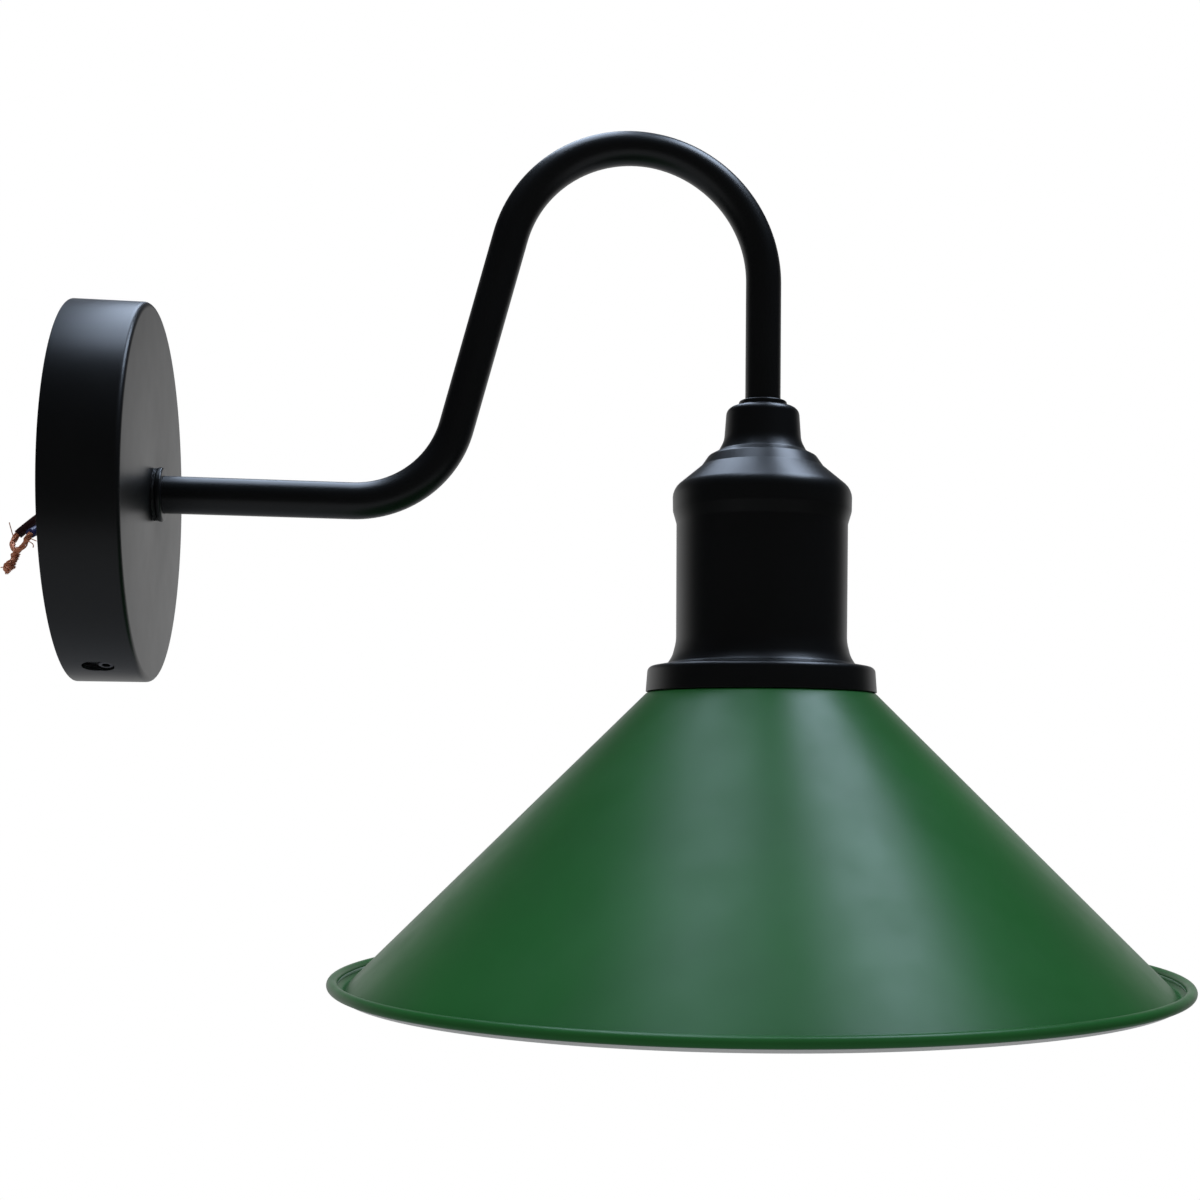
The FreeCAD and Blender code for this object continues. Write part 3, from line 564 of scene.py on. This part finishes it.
def route_line(points):
    """Places along a smooth route, a fine step apart."""
    obj = route_curve("route", points)
    graph = bpy.context.evaluated_depsgraph_get()
    mesh = bpy.data.meshes.new_from_object(obj.evaluated_get(graph))
    line = [vert.co.copy() for vert in mesh.vertices]
    bpy.data.objects.remove(obj)
    return line


def insulated_lead(name, points, finish):
    """Insulated lead as a round tube on its route, with its ends cut square."""
    obj = route_curve(name, points)
    obj.data.bevel_depth = LEAD_RADIUS
    obj.data.bevel_resolution = 6
    obj.data.use_fill_caps = True
    obj.data.materials.append(materials[finish])
    return obj


def wires(name, lines, radius):
    """One mesh of thin round wires along lines of places."""
    curve = bpy.data.curves.new(name, "CURVE")
    curve.dimensions = "3D"
    curve.bevel_depth = radius
    curve.bevel_resolution = 2
    curve.use_fill_caps = True
    for line in lines:
        spline = curve.splines.new("POLY")
        spline.points.add(len(line) - 1)
        for control, place in zip(spline.points, line):
            control.co = (*place, 1)
    obj = bpy.data.objects.new(name, curve)
    bpy.context.scene.collection.objects.link(obj)
    graph = bpy.context.evaluated_depsgraph_get()
    mesh = bpy.data.meshes.new_from_object(obj.evaluated_get(graph))
    bpy.data.objects.remove(obj)
    mesh.name = name
    mesh.materials.clear()
    mesh.materials.append(materials["bare_copper"])
    mesh.shade_smooth()
    bundle = bpy.data.objects.new(name, mesh)
    bpy.context.scene.collection.objects.link(bundle)
    return bundle


def twisted_bundle(name, points, strays, count, radius, seed):
    """Bundle of fine copper strands that twist about their route."""
    rng = random.Random(seed)
    route = route_line(points)
    lines = []
    for k in range(count):
        ring, place = (INNER_RING, k) if k < count // 3 else (OUTER_RING, k + 0.5)
        start = math.tau * place * GOLDEN_SHARE
        waver = rng.uniform(0, math.tau)
        line = []
        run = 0.0
        for i, here in enumerate(route):
            ahead = route[min(i + 1, len(route) - 1)] - route[max(i - 1, 0)]
            run += (route[i] - route[i - 1]).length if i else 0
            side = ahead.cross(Vector(OFF_ROUTE)).normalized()
            other = ahead.cross(side).normalized()
            angle = start + math.tau * run / TWIST_LENGTH
            loose = ring * (1 + WAVER_SHARE * math.sin(waver + run / WAVER_LENGTH))
            line.append(here + (side * math.cos(angle) + other * math.sin(angle)) * loose)
        lines.append(line[: len(line) - rng.randint(0, 4)])
    for stray in strays:
        lines.append(route_line(stray))
    return wires(name, lines, radius)


class WALLLIGHT_OT_leads(bpy.types.Operator):
    """Makes the two free leads behind the canopy, with their twisted bare strands"""
    bl_idname = "walllight.leads"
    bl_label = "Leads"

    def execute(self, context):
        sizes = context.scene.walllight_sizes
        leads = (
            ("live", LIVE_LEAD, LIVE_STRANDS, STRAY_WIRES[:2], "brown_insulation", 7),
            ("neutral", NEUTRAL_LEAD, NEUTRAL_STRANDS, STRAY_WIRES[2:], "blue_insulation", 3),
        )
        for core, lead_route, strand_route, strays, finish, seed in leads:
            strands = twisted_bundle(
                core + "_copper", strand_route, strays, sizes.strands, sizes.strand, seed)
            dress(strands, LAMP, core + "_strands")
            lead = insulated_lead(core + "_insulation", lead_route, finish)
            dress(lead, LAMP, core + "_lead")
        return {"FINISHED"}


# ---------------------------------------------------------- canopy and strap

def obround(length, width):
    """Corners of a slot that lies along X."""
    corners = []
    points = 16
    for way in (1, -1):
        for i in range(points + 1):
            angle = math.pi * (i / points - way / 2)
            corners.append((
                way * (length - width) / 2 + width / 2 * math.cos(angle),
                width / 2 * math.sin(angle)))
    return corners


def slot_cutter(side):
    """Bar through the canopy's side, in line with the strap's screw."""
    length, width, start, depth = 8.0 * MM, 5.7 * MM, 4.9 * MM, 6.0 * MM
    place = (start + length / 2, 0, canopy_high.z - depth / 2)
    bm = at(prism(obround(length, width), depth), place)
    half_turn = 0 if side > 0 else math.pi
    bmesh.ops.rotate(
        bm, verts=bm.verts, cent=(0, 0, 0),
        matrix=Matrix.Rotation(half_turn - SLOT_TURN, 3, "X"))
    return finished(bm, "slot_cutter", materials["black_powder_coat"])


class WALLLIGHT_OT_canopy(bpy.types.Operator):
    """Makes the drawn canopy with its two slots"""
    bl_idname = "walllight.canopy"
    bl_label = "Canopy"

    def execute(self, context):
        sizes = context.scene.walllight_sizes
        radius, depth, rounding = canopy_high.z, canopy_high.x, 1.5 * MM
        section = sheet_section([
            (TUBE_HOLE, depth),
            (radius, depth, rounding),
            (radius, 0.0),
        ], SHEET, sizes.edge)
        cup = finished(stand_on_x(turn(section, sizes.steps)), "canopy_cup",
                       materials["black_powder_coat"])
        cut_away(cup, [slot_cutter(1), slot_cutter(-1)])
        dress(cup, LAMP, "canopy")
        return {"FINISHED"}


def ring_piece(name, low, high, outer, rounding, node, slot, along_x):
    """Thin ring on the tube, with its outer edges rounded."""
    sizes = bpy.context.scene.walllight_sizes
    start, end = (low.x, high.x) if along_x else (low.z, high.z)
    bm = turn([
        (TUBE_HOLE, start), (outer, start, rounding), (outer, end, rounding), (TUBE_HOLE, end),
    ], sizes.steps // 2)
    if along_x:
        stand_on_x(bm)
    else:
        at(bm, HEAD)
    return dress(finished(bm, name, materials[slot]), LAMP, node)


class WALLLIGHT_OT_rings(bpy.types.Operator):
    """Makes the gasket and collar on the canopy and the collar on the bell cover"""
    bl_idname = "walllight.rings"
    bl_label = "Collars and gasket"

    def execute(self, context):
        gasket_rounding, collar_rounding = 0.25 * MM, 0.5 * MM
        worn_band, wear = 0.4 * MM, 0.35 * MM
        gasket = ring_piece(
            "gasket_ring", gasket_low, gasket_high, gasket_high.z, gasket_rounding,
            "canopy_gasket", "black_rubber", True)
        rng = random.Random(4)
        for vert in gasket.data.vertices:
            radius = math.hypot(vert.co.y, vert.co.z)
            if radius > gasket_high.z - worn_band:
                vert.co.yz = vert.co.yz * (1 - rng.uniform(0, wear) / radius)
        ring_piece(
            "wall_collar", collar_low, collar_high, collar_high.z, collar_rounding,
            "canopy_collar", "black_powder_coat", True)
        ring_piece(
            "bell_collar", head_collar_low, head_collar_high, head_collar_high.y, collar_rounding,
            "head_collar", "black_powder_coat", False)
        return {"FINISHED"}


def hexagon(radius):
    """Corners of a hexagon."""
    return [(radius * math.cos(a), radius * math.sin(a))
            for a in (math.radians(60 * i) for i in range(6))]


def socket_screw(radius, length, socket, depth):
    """Grub screw along Z with a hexagon socket in its upper end."""
    bm = turn([
        (AXIS_GAP, 0), (radius, 0, 0.5 * MM), (radius, length, 0.3 * MM), (AXIS_GAP, length),
    ], 40)
    screw = finished(bm, "screw", materials["dark_steel"])
    cutter = finished(
        at(prism(hexagon(socket), depth + CUT_OVER), (0, 0, length - depth)), "socket",
        materials["dark_steel"])
    cut_away(screw, [cutter])
    return screw


class WALLLIGHT_OT_strap_screws(bpy.types.Operator):
    """Makes the two grub screws in the strap's ears and the earth screw"""
    bl_idname = "walllight.strap_screws"
    bl_label = "Strap screws"

    def execute(self, context):
        length, socket, socket_depth, recess = 6.0 * MM, 1.15 * MM, 2.0 * MM, 0.4 * MM
        tip = canopy_high.z - recess
        place_x = (grub_low.x + grub_high.x) / 2
        bm = bmesh.new()
        for side in (0, math.pi):
            screw = socket_screw(SCREW_RADIUS, length, socket, socket_depth)
            lift = Matrix.Translation((place_x, 0, tip - length))
            screw.data.transform(Matrix.Rotation(side - SLOT_TURN, 4, "X") @ lift)
            bm.from_mesh(screw.data)
            bpy.data.objects.remove(screw)
        pair = finished(bm, "grub_screws", materials["dark_steel"])
        dress(pair, WALL_BRACKET, "strap_grub_screws")
        self.earth_screw()
        return {"FINISHED"}

    def earth_screw(self):
        """Pan head screw with a cross recess."""
        head, head_height, top = 3.6 * MM, 2.2 * MM, earth_high.x
        under = top - head_height
        recess_size = (2.6 * MM, 0.7 * MM, 4.0 * MM)
        bm = stand_on_x(turn([
            (AXIS_GAP, 0), (SCREW_RADIUS, 0), (SCREW_RADIUS, under), (head, under, 0.2 * MM),
            (head, top, 1.1 * MM), (AXIS_GAP, top),
        ], 64))
        screw = finished(bm, "earth_terminal_screw", materials["zinc_steel"])
        cutters = []
        for turned in (0, math.pi / 2):
            bar = bmesh.new()
            bmesh.ops.create_cube(bar, size=1.0)
            bmesh.ops.scale(bar, vec=recess_size, verts=bar.verts)
            bmesh.ops.translate(bar, vec=(top, 0, 0), verts=bar.verts)
            bmesh.ops.rotate(
                bar, verts=bar.verts, cent=(0, 0, 0), matrix=Matrix.Rotation(turned, 3, "X"))
            cutters.append(finished(bar, "recess", materials["zinc_steel"]))
        cut_away(screw, cutters)
        centre = (earth_low + earth_high) / 2
        screw.data.transform(Matrix.Translation((0, centre.y, centre.z)))
        dress(screw, WALL_BRACKET, "earth_screw")


# ---------------------------------------------------------------------- arm

def arm_station(here, heading, flat):
    """Place and turn of a ring on the arm, made thinner in the arm's plane."""
    ahead = Vector((math.cos(heading), 0, math.sin(heading)))
    across = Vector((-math.sin(heading), 0, math.cos(heading)))
    turned = Matrix((across, Vector((0, -1, 0)), ahead)).transposed().to_4x4()
    return Matrix.Translation(here) @ turned @ Matrix.Diagonal((flat, 1, 1, 1))


def arm_stations():
    """Stations from inside the canopy, up and over, to the boss of the lampholder."""
    here, heading, flat = Vector((tube_low.x, 0, 0)), 0.0, 1.0
    stations = [arm_station(here, heading, flat)]
    for length, radius, turned, flat_end in ARM_RUNS:
        steps = max(ARM_LEAST_STEPS, round(abs(turned) / ARM_STEP))
        step = math.radians(turned) / steps
        for i in range(steps):
            run = 2 * radius * math.sin(abs(step) / 2) if turned else length / steps
            middle = heading + step / 2
            here = here + Vector((math.cos(middle), 0, math.sin(middle))) * run
            heading += step
            stations.append(arm_station(here, heading, flat + (flat_end - flat) * (i + 1) / steps))
        flat = flat_end
    end = dome_high.z - ARM_END_IN_BOSS
    drop = here.z - end
    for share in (0.1, 0.25, 1.0):
        stations.append(arm_station(here - Vector((0, 0, share * drop)), heading, 1.0))
    return stations


def swept_ring(bm, radius, stations, segments):
    """Skin of a ring carried from station to station; returns its two end rings."""
    verts = bmesh.ops.create_circle(bm, cap_ends=False, segments=segments, radius=radius)["verts"]
    first = list({edge for vert in verts for edge in vert.link_edges})
    bmesh.ops.transform(bm, matrix=stations[0], verts=verts)
    edges = first
    for before, after in zip(stations, stations[1:]):
        made = bmesh.ops.extrude_edge_only(bm, edges=edges)["geom"]
        verts = set(verts_of(made))
        edges = [e for e in made if isinstance(e, bmesh.types.BMEdge)
                 and all(vert in verts for vert in e.verts)]
        bmesh.ops.transform(bm, matrix=after @ before.inverted(), verts=list(verts))
    return first, edges


class WALLLIGHT_OT_arm(bpy.types.Operator):
    """Makes the bent tube, a little flattened in its bends"""
    bl_idname = "walllight.arm"
    bl_label = "Arm"

    def execute(self, context):
        bm = bmesh.new()
        stations = arm_stations()
        outer = swept_ring(bm, TUBE_RADIUS, stations, ARM_FACES)
        inner = swept_ring(bm, TUBE_BORE, stations, ARM_FACES)
        for end in (0, 1):
            bmesh.ops.bridge_loops(bm, edges=outer[end] + inner[end])
        tube = finished(bm, "gooseneck", materials["black_powder_coat"])
        dress(tube, LAMP, "arm_tube")
        return {"FINISHED"}


# ------------------------------------------------------------------- head

class WALLLIGHT_OT_bell_cover(bpy.types.Operator):
    """Makes the spun bell cover"""
    bl_idname = "walllight.bell_cover"
    bl_label = "Bell cover"

    def execute(self, context):
        sizes = context.scene.walllight_sizes
        corners = [(TUBE_HOLE, bell_high.z)]
        for radius, drop, rounding in BELL_OUTLINE:
            corners.append((radius * MM, bell_high.z - drop * MM, rounding * MM))
        section = sheet_section(corners, SHEET, sizes.edge)
        bell = finished(
            at(turn(section, sizes.steps), HEAD), "spun_bell", materials["black_powder_coat"])
        dress(bell, LAMP, "bell_cover")
        return {"FINISHED"}


class WALLLIGHT_OT_shade(bpy.types.Operator):
    """Makes the conical shade with its groove and rolled rim, green outside and white inside"""
    bl_idname = "walllight.shade"
    bl_label = "Shade"

    def execute(self, context):
        sizes = context.scene.walllight_sizes
        wall, roll, bead_points = 0.8 * MM, 1.45 * MM, 26
        top, cone_angle = shade_high.z, math.radians(45.2)
        hole, shoulder, groove = 20.6 * MM, 32.0 * MM, 113.6 * MM
        lip_out, lip_up, lining_past_groove = 2.65 * MM, 2.1 * MM, 1.8 * MM
        groove_height = top - (groove - shoulder) / math.tan(cone_angle)
        rise = Vector((lip_out, lip_up)).normalized()
        bead = Vector((groove + lip_out, groove_height + lip_up))
        under = Vector((rise.y, -rise.x)) * wall
        upper = bead - rise * roll
        lower = bead + under - rise * math.sqrt(roll ** 2 - wall ** 2)
        corners = [
            (hole, top), (shoulder, top, 1.5 * MM),
            (groove, groove_height, 0.8 * MM), (upper.x, upper.y),
        ]
        sweep = math.tau - abs((upper - bead).angle_signed(lower - bead))
        start = math.atan2(upper.y - bead.y, upper.x - bead.x)
        arc = []
        for i in range(1, bead_points):
            angle = start - sweep * i / bead_points
            arc.append((bead.x + roll * math.cos(angle), bead.y + roll * math.sin(angle)))
        inner = sheet_section(corners, wall, 0)[len(corners) + 1:]
        section = corners + arc + [(lower.x, lower.y)] + inner
        bm = at(turn(section, 2 * sizes.steps), HEAD)
        shade = finished(bm, "cone_shade", materials["green_enamel"])
        lining = shade.data.attributes.new("lining", "FLOAT", "FACE")
        for face in shade.data.polygons:
            out = math.hypot(face.center.x - HEAD.x, face.center.y)
            inside = face.normal.z < -0.05 and out < groove + lining_past_groove
            lining.data[face.index].value = 1.0 if inside else 0.0
        dress(shade, SHADE, "shade")
        return {"FINISHED"}


# -------------------------------------------------------------- lampholder

def thread_profile(root, crest, foot, tip):
    """Corners of a thread's ridge, with half its width at the root and at the crest."""
    return [(root, -foot), (crest, -tip), (crest, tip), (root, foot)]


def ridge(profile, start, turns, pitch):
    """Closed screw ridge whose section winds up about Z."""
    steps = 48
    bm = bmesh.new()
    verts = [bm.verts.new((x, 0, z + start)) for x, z in profile]
    bm.faces.new(verts)
    bmesh.ops.delete(bm, geom=list(bm.faces), context="FACES_ONLY")
    bmesh.ops.spin(
        bm, geom=list(bm.verts) + list(bm.edges), cent=(0, 0, 0), axis=(0, 0, 1),
        dvec=(0, 0, pitch / steps), angle=math.tau * turns, steps=round(steps * turns),
        use_merge=False, use_duplicate=False)
    bmesh.ops.holes_fill(bm, edges=[edge for edge in bm.edges if edge.is_boundary])
    return bm


class WALLLIGHT_OT_skirt(bpy.types.Operator):
    """Makes the lampholder's lower half with its seat and its 40 mm thread"""
    bl_idname = "walllight.skirt"
    bl_label = "Lampholder skirt"

    def execute(self, context):
        sizes = context.scene.walllight_sizes
        joint, mouth = skirt_high.z, skirt_low.z
        seat = shade_high.z
        seat_top = seat + 2.0 * MM
        ledge = mouth + 29.4 * MM
        bore, recess, core, crest, body = 15.6 * MM, 18.5 * MM, 19.1 * MM, 20.0 * MM, 20.4 * MM
        bm = turn([
            (recess, joint, 0.2 * MM), (body, joint, 0.3 * MM),
            (body, seat_top, 1.5 * MM), (skirt_high.y, seat_top, 0.5 * MM),
            (skirt_high.y, seat, 0.3 * MM), (core, seat), (core, mouth, 0.6 * MM),
            (bore, mouth, 0.3 * MM), (bore, ledge), (recess, ledge),
        ], sizes.steps)
        profile = thread_profile(core - 0.1 * MM, crest, 0.62 * MM, 0.28 * MM)
        add(bm, ridge(profile, mouth + THREAD_START, 4.9, sizes.shade_pitch))
        skirt = finished(at(bm, HEAD), "threaded_skirt", materials["holder_plastic"])
        dress(skirt, LAMP, "holder_skirt")
        return {"FINISHED"}


class WALLLIGHT_OT_screw_shell(bpy.types.Operator):
    """Makes the rolled screw shell for the lamp's cap"""
    bl_idname = "walllight.screw_shell"
    bl_label = "Screw shell"

    def execute(self, context):
        sizes = context.scene.walllight_sizes
        pitch, points, steps = sizes.cap_pitch, 10, 72
        crest, depth, wall = 13.3 * MM, 0.95 * MM, 0.35 * MM
        lip_inner, lip_outer, lip_height = 12.6 * MM, 15.3 * MM, 0.8 * MM
        low, high = shell_low.z, shell_high.z - lip_height
        turns = math.ceil((high - low) / pitch) + 2
        bm = bmesh.new()
        line = []
        for i in range(points + 1):
            wave = (1 - math.cos(math.tau * i / points)) / 2
            line.append(bm.verts.new((crest - depth * wave, 0, low - pitch + pitch * i / points)))
        for before, after in zip(line, line[1:]):
            bm.edges.new((before, after))
        bmesh.ops.spin(
            bm, geom=list(bm.verts) + list(bm.edges), cent=(0, 0, 0), axis=(0, 0, 1),
            dvec=(0, 0, pitch / steps), angle=math.tau * turns, steps=steps * turns,
            use_merge=False, use_duplicate=False)
        bmesh.ops.remove_doubles(bm, verts=bm.verts, dist=0.01 * MM)
        for height, up in ((low, -1), (high, 1)):
            bmesh.ops.bisect_plane(
                bm, geom=list(bm.verts) + list(bm.edges) + list(bm.faces),
                plane_co=(0, 0, height), plane_no=(0, 0, up), clear_outer=True)
        bmesh.ops.recalc_face_normals(bm, faces=bm.faces)
        bmesh.ops.solidify(bm, geom=list(bm.faces), thickness=wall)
        add(bm, turn([
            (lip_inner, high), (lip_outer, high, 0.1 * MM),
            (lip_outer, shell_high.z, 0.1 * MM), (lip_inner, shell_high.z),
        ], steps))
        shell = finished(at(bm, HEAD), "rolled_shell", materials["shell_nickel"], 50.0)
        dress(shell, LAMP, "screw_shell")
        return {"FINISHED"}


class WALLLIGHT_OT_shade_ring(bpy.types.Operator):
    """Makes the ring that clamps the shade, with its ribs and inside thread"""
    bl_idname = "walllight.shade_ring"
    bl_label = "Shade ring"

    def execute(self, context):
        sizes = context.scene.walllight_sizes
        top, foot = ring_high.z, ring_low.z
        seat = top - 2.0 * MM
        bore, outer, flange, crest = 20.35 * MM, 23.48 * MM, 27.0 * MM, 19.4 * MM
        bm = turn([
            (bore, top, 0.3 * MM), (bore, foot, 0.4 * MM), (outer, foot, 0.8 * MM),
            (outer, seat, 0.5 * MM), (flange, seat, 0.5 * MM), (flange, top, 0.4 * MM),
        ], sizes.steps)
        ribs, clear = 16, 0.6 * MM
        rib_size = (2.2 * MM, 2.4 * MM, seat - foot - clear)
        for i in range(ribs):
            rib = bmesh.new()
            bmesh.ops.create_cube(rib, size=1.0)
            bmesh.ops.scale(rib, vec=rib_size, verts=rib.verts)
            bmesh.ops.bevel(
                rib, geom=list(rib.edges), offset=0.5 * MM, offset_type="OFFSET", segments=3,
                profile=0.5, affect="EDGES", material=-1)
            at(rib, (outer + 0.1 * MM, 0, (seat + foot + clear) / 2))
            bmesh.ops.rotate(
                rib, verts=rib.verts, cent=(0, 0, 0),
                matrix=Matrix.Rotation(math.tau * i / ribs, 3, "Z"))
            add(bm, rib)
        profile = thread_profile(bore + 0.1 * MM, crest, 0.58 * MM, 0.25 * MM)
        start = skirt_low.z + THREAD_START + 3.5 * sizes.shade_pitch
        add(bm, ridge(profile, start, 1.7, sizes.shade_pitch))
        ring = finished(at(bm, HEAD), "ribbed_ring", materials["holder_plastic"])
        dress(ring, SHADE_RING, "shade_ring")
        return {"FINISHED"}


# -------------------------------------------------------------------- stage

def make_camera(scene):
    """Camera at the photograph's place, turned by its yaw, rise and roll."""
    camera = bpy.data.objects.new("camera", bpy.data.cameras.new("camera"))
    camera.data.lens = CAMERA_LENS
    camera.data.sensor_width = CAMERA_SENSOR
    camera.data.shift_x, camera.data.shift_y = CAMERA_SHIFT
    forward = Vector((
        math.sin(CAMERA_YAW) * math.cos(CAMERA_RISE),
        math.cos(CAMERA_YAW) * math.cos(CAMERA_RISE),
        math.sin(CAMERA_RISE)))
    level = Vector((math.cos(CAMERA_YAW), -math.sin(CAMERA_YAW), 0))
    upright = level.cross(forward)
    right = level * math.cos(CAMERA_ROLL) + upright * math.sin(CAMERA_ROLL)
    up = upright * math.cos(CAMERA_ROLL) - level * math.sin(CAMERA_ROLL)
    turned = Matrix((right, up, -forward)).transposed().to_4x4()
    camera.matrix_world = Matrix.Translation(CAMERA_PLACE) @ turned
    camera.data.clip_start = 0.01
    scene.collection.objects.link(camera)
    scene.camera = camera


def smooth_range(tree, source, before, after):
    """Output of a node that eases one range of a value onto another."""
    node = tree.nodes.new("ShaderNodeMapRange")
    node.interpolation_type = "SMOOTHSTEP"
    node.inputs["From Min"].default_value, node.inputs["From Max"].default_value = before
    node.inputs["To Min"].default_value, node.inputs["To Max"].default_value = after
    tree.links.new(source, node.inputs["Value"])
    return node.outputs["Result"]


def joined(tree, operation, first, second):
    """Output of a node that works on two values."""
    node = tree.nodes.new("ShaderNodeMath")
    node.operation = operation
    tree.links.new(first, node.inputs[0])
    tree.links.new(second, node.inputs[1])
    return node.outputs["Value"]


def make_world(scene):
    """White to the camera, a pale low band behind the light in gloss, and grey for the rest."""
    world = bpy.data.worlds.new("studio")
    world.use_nodes = True
    scene.world = world
    tree = world.node_tree
    coords = tree.nodes.new("ShaderNodeTexCoord").outputs["Generated"]
    split = tree.nodes.new("ShaderNodeSeparateXYZ")
    tree.links.new(coords, split.inputs["Vector"])
    behind = smooth_range(tree, split.outputs["Y"], (0.35, 0.85), (0.02, 0.6))
    low = smooth_range(tree, split.outputs["Z"], (0.12, 0.5), (1.0, 0.12))
    mirrored = joined(tree, "MULTIPLY", behind, low)
    rays = tree.nodes.new("ShaderNodeLightPath").outputs
    gloss = tree.nodes.new("ShaderNodeMix")
    gloss.inputs["A"].default_value = 0.56
    tree.links.new(rays["Is Glossy Ray"], gloss.inputs["Factor"])
    tree.links.new(mirrored, gloss.inputs["B"])
    seen = joined(tree, "MAXIMUM", rays["Is Camera Ray"], rays["Is Transmission Ray"])
    level = joined(tree, "MAXIMUM", gloss.outputs["Result"], seen)
    tree.links.new(level, tree.nodes["Background"].inputs["Strength"])
    tree.nodes["Background"].inputs["Color"].default_value = (1, 1, 1, 1)
    scene.view_settings.view_transform = "Standard"


def make_floor():
    """Pale floor far below the light, which glows to the camera alone."""
    bm = bmesh.new()
    half_width, height = 1.9, -1.05
    bmesh.ops.create_grid(bm, x_segments=1, y_segments=1, size=half_width)
    at(bm, (0, 0, height))
    finish = Finish("pale_floor")
    finish.shader.inputs["Base Color"].default_value = (0.38, 0.38, 0.38, 1)
    finish.shader.inputs["Roughness"].default_value = 0.9
    finish.shader.inputs["Emission Color"].default_value = (1, 1, 1, 1)
    path = finish.tree.nodes.new("ShaderNodeLightPath")
    glow = finish.tree.nodes.new("ShaderNodeMath")
    glow.operation = "MULTIPLY"
    glow.inputs[1].default_value = 0.8
    finish.link(path.outputs["Is Camera Ray"], glow, 0)
    finish.link(glow.outputs["Value"], finish.shader, "Emission Strength")
    finished(bm, "floor", finish.material)


def overhead_lamp(name, place, size, power):
    """Soft cool strip lamp that faces down, its size along X and along Y."""
    data = bpy.data.lights.new(name, "AREA")
    data.shape = "RECTANGLE"
    data.size, data.size_y = size
    data.energy = power
    data.color = (0.66, 0.79, 1.0)
    lamp = bpy.data.objects.new(name, data)
    lamp.location = place
    bpy.context.scene.collection.objects.link(lamp)


def make_lamps():
    """Two soft strips overhead, which run away from the camera."""
    overhead_lamp("overhead_right", (0.70, 0.12, 1.15), (0.48, 0.75), 10.5)
    overhead_lamp("overhead_left", (-0.02, 0.60, 1.2), (0.44, 1.5), 10.8)


class WALLLIGHT_OT_stage(bpy.types.Operator):
    """Makes the camera, the white surroundings, the floor and the lamps"""
    bl_idname = "walllight.stage"
    bl_label = "Stage"

    def execute(self, context):
        make_camera(context.scene)
        make_world(context.scene)
        make_floor()
        make_lamps()
        return {"FINISHED"}


# -------------------------------------------------------------------- panel

STEPS = (
    "finishes", "stage", "leads", "canopy", "rings", "strap_screws", "arm", "bell_cover",
    "shade", "skirt", "screw_shell", "shade_ring",
)


class WALLLIGHT_PT_panel(bpy.types.Panel):
    """Sidebar panel that lists the pieces and their sizes"""
    bl_idname = "WALLLIGHT_PT_panel"
    bl_label = "Wall light"
    bl_space_type = "VIEW_3D"
    bl_region_type = "UI"
    bl_category = "Wall light"

    def draw(self, context):
        for step in STEPS:
            self.layout.operator("walllight." + step)
        for group in (context.scene.walllight_sizes, context.scene.walllight_colours):
            for name in group.__annotations__:
                self.layout.prop(group, name)


CLASSES = (
    WALLLIGHT_PG_sizes, WALLLIGHT_PG_colours, WALLLIGHT_OT_finishes, WALLLIGHT_OT_stage,
    WALLLIGHT_OT_leads, WALLLIGHT_OT_canopy, WALLLIGHT_OT_rings, WALLLIGHT_OT_strap_screws,
    WALLLIGHT_OT_arm, WALLLIGHT_OT_bell_cover, WALLLIGHT_OT_shade, WALLLIGHT_OT_skirt,
    WALLLIGHT_OT_screw_shell, WALLLIGHT_OT_shade_ring, WALLLIGHT_PT_panel,
)


def register():
    for cls in CLASSES:
        bpy.utils.register_class(cls)
    bpy.types.Scene.walllight_sizes = bpy.props.PointerProperty(type=WALLLIGHT_PG_sizes)
    bpy.types.Scene.walllight_colours = bpy.props.PointerProperty(type=WALLLIGHT_PG_colours)


def unregister():
    del bpy.types.Scene.walllight_colours
    del bpy.types.Scene.walllight_sizes
    for cls in reversed(CLASSES):
        bpy.utils.unregister_class(cls)


def main():
    """Builds the whole scene, one step after another."""
    register()
    for step in STEPS:
        getattr(bpy.ops.walllight, step)()


if __name__ == "__main__":
    main()
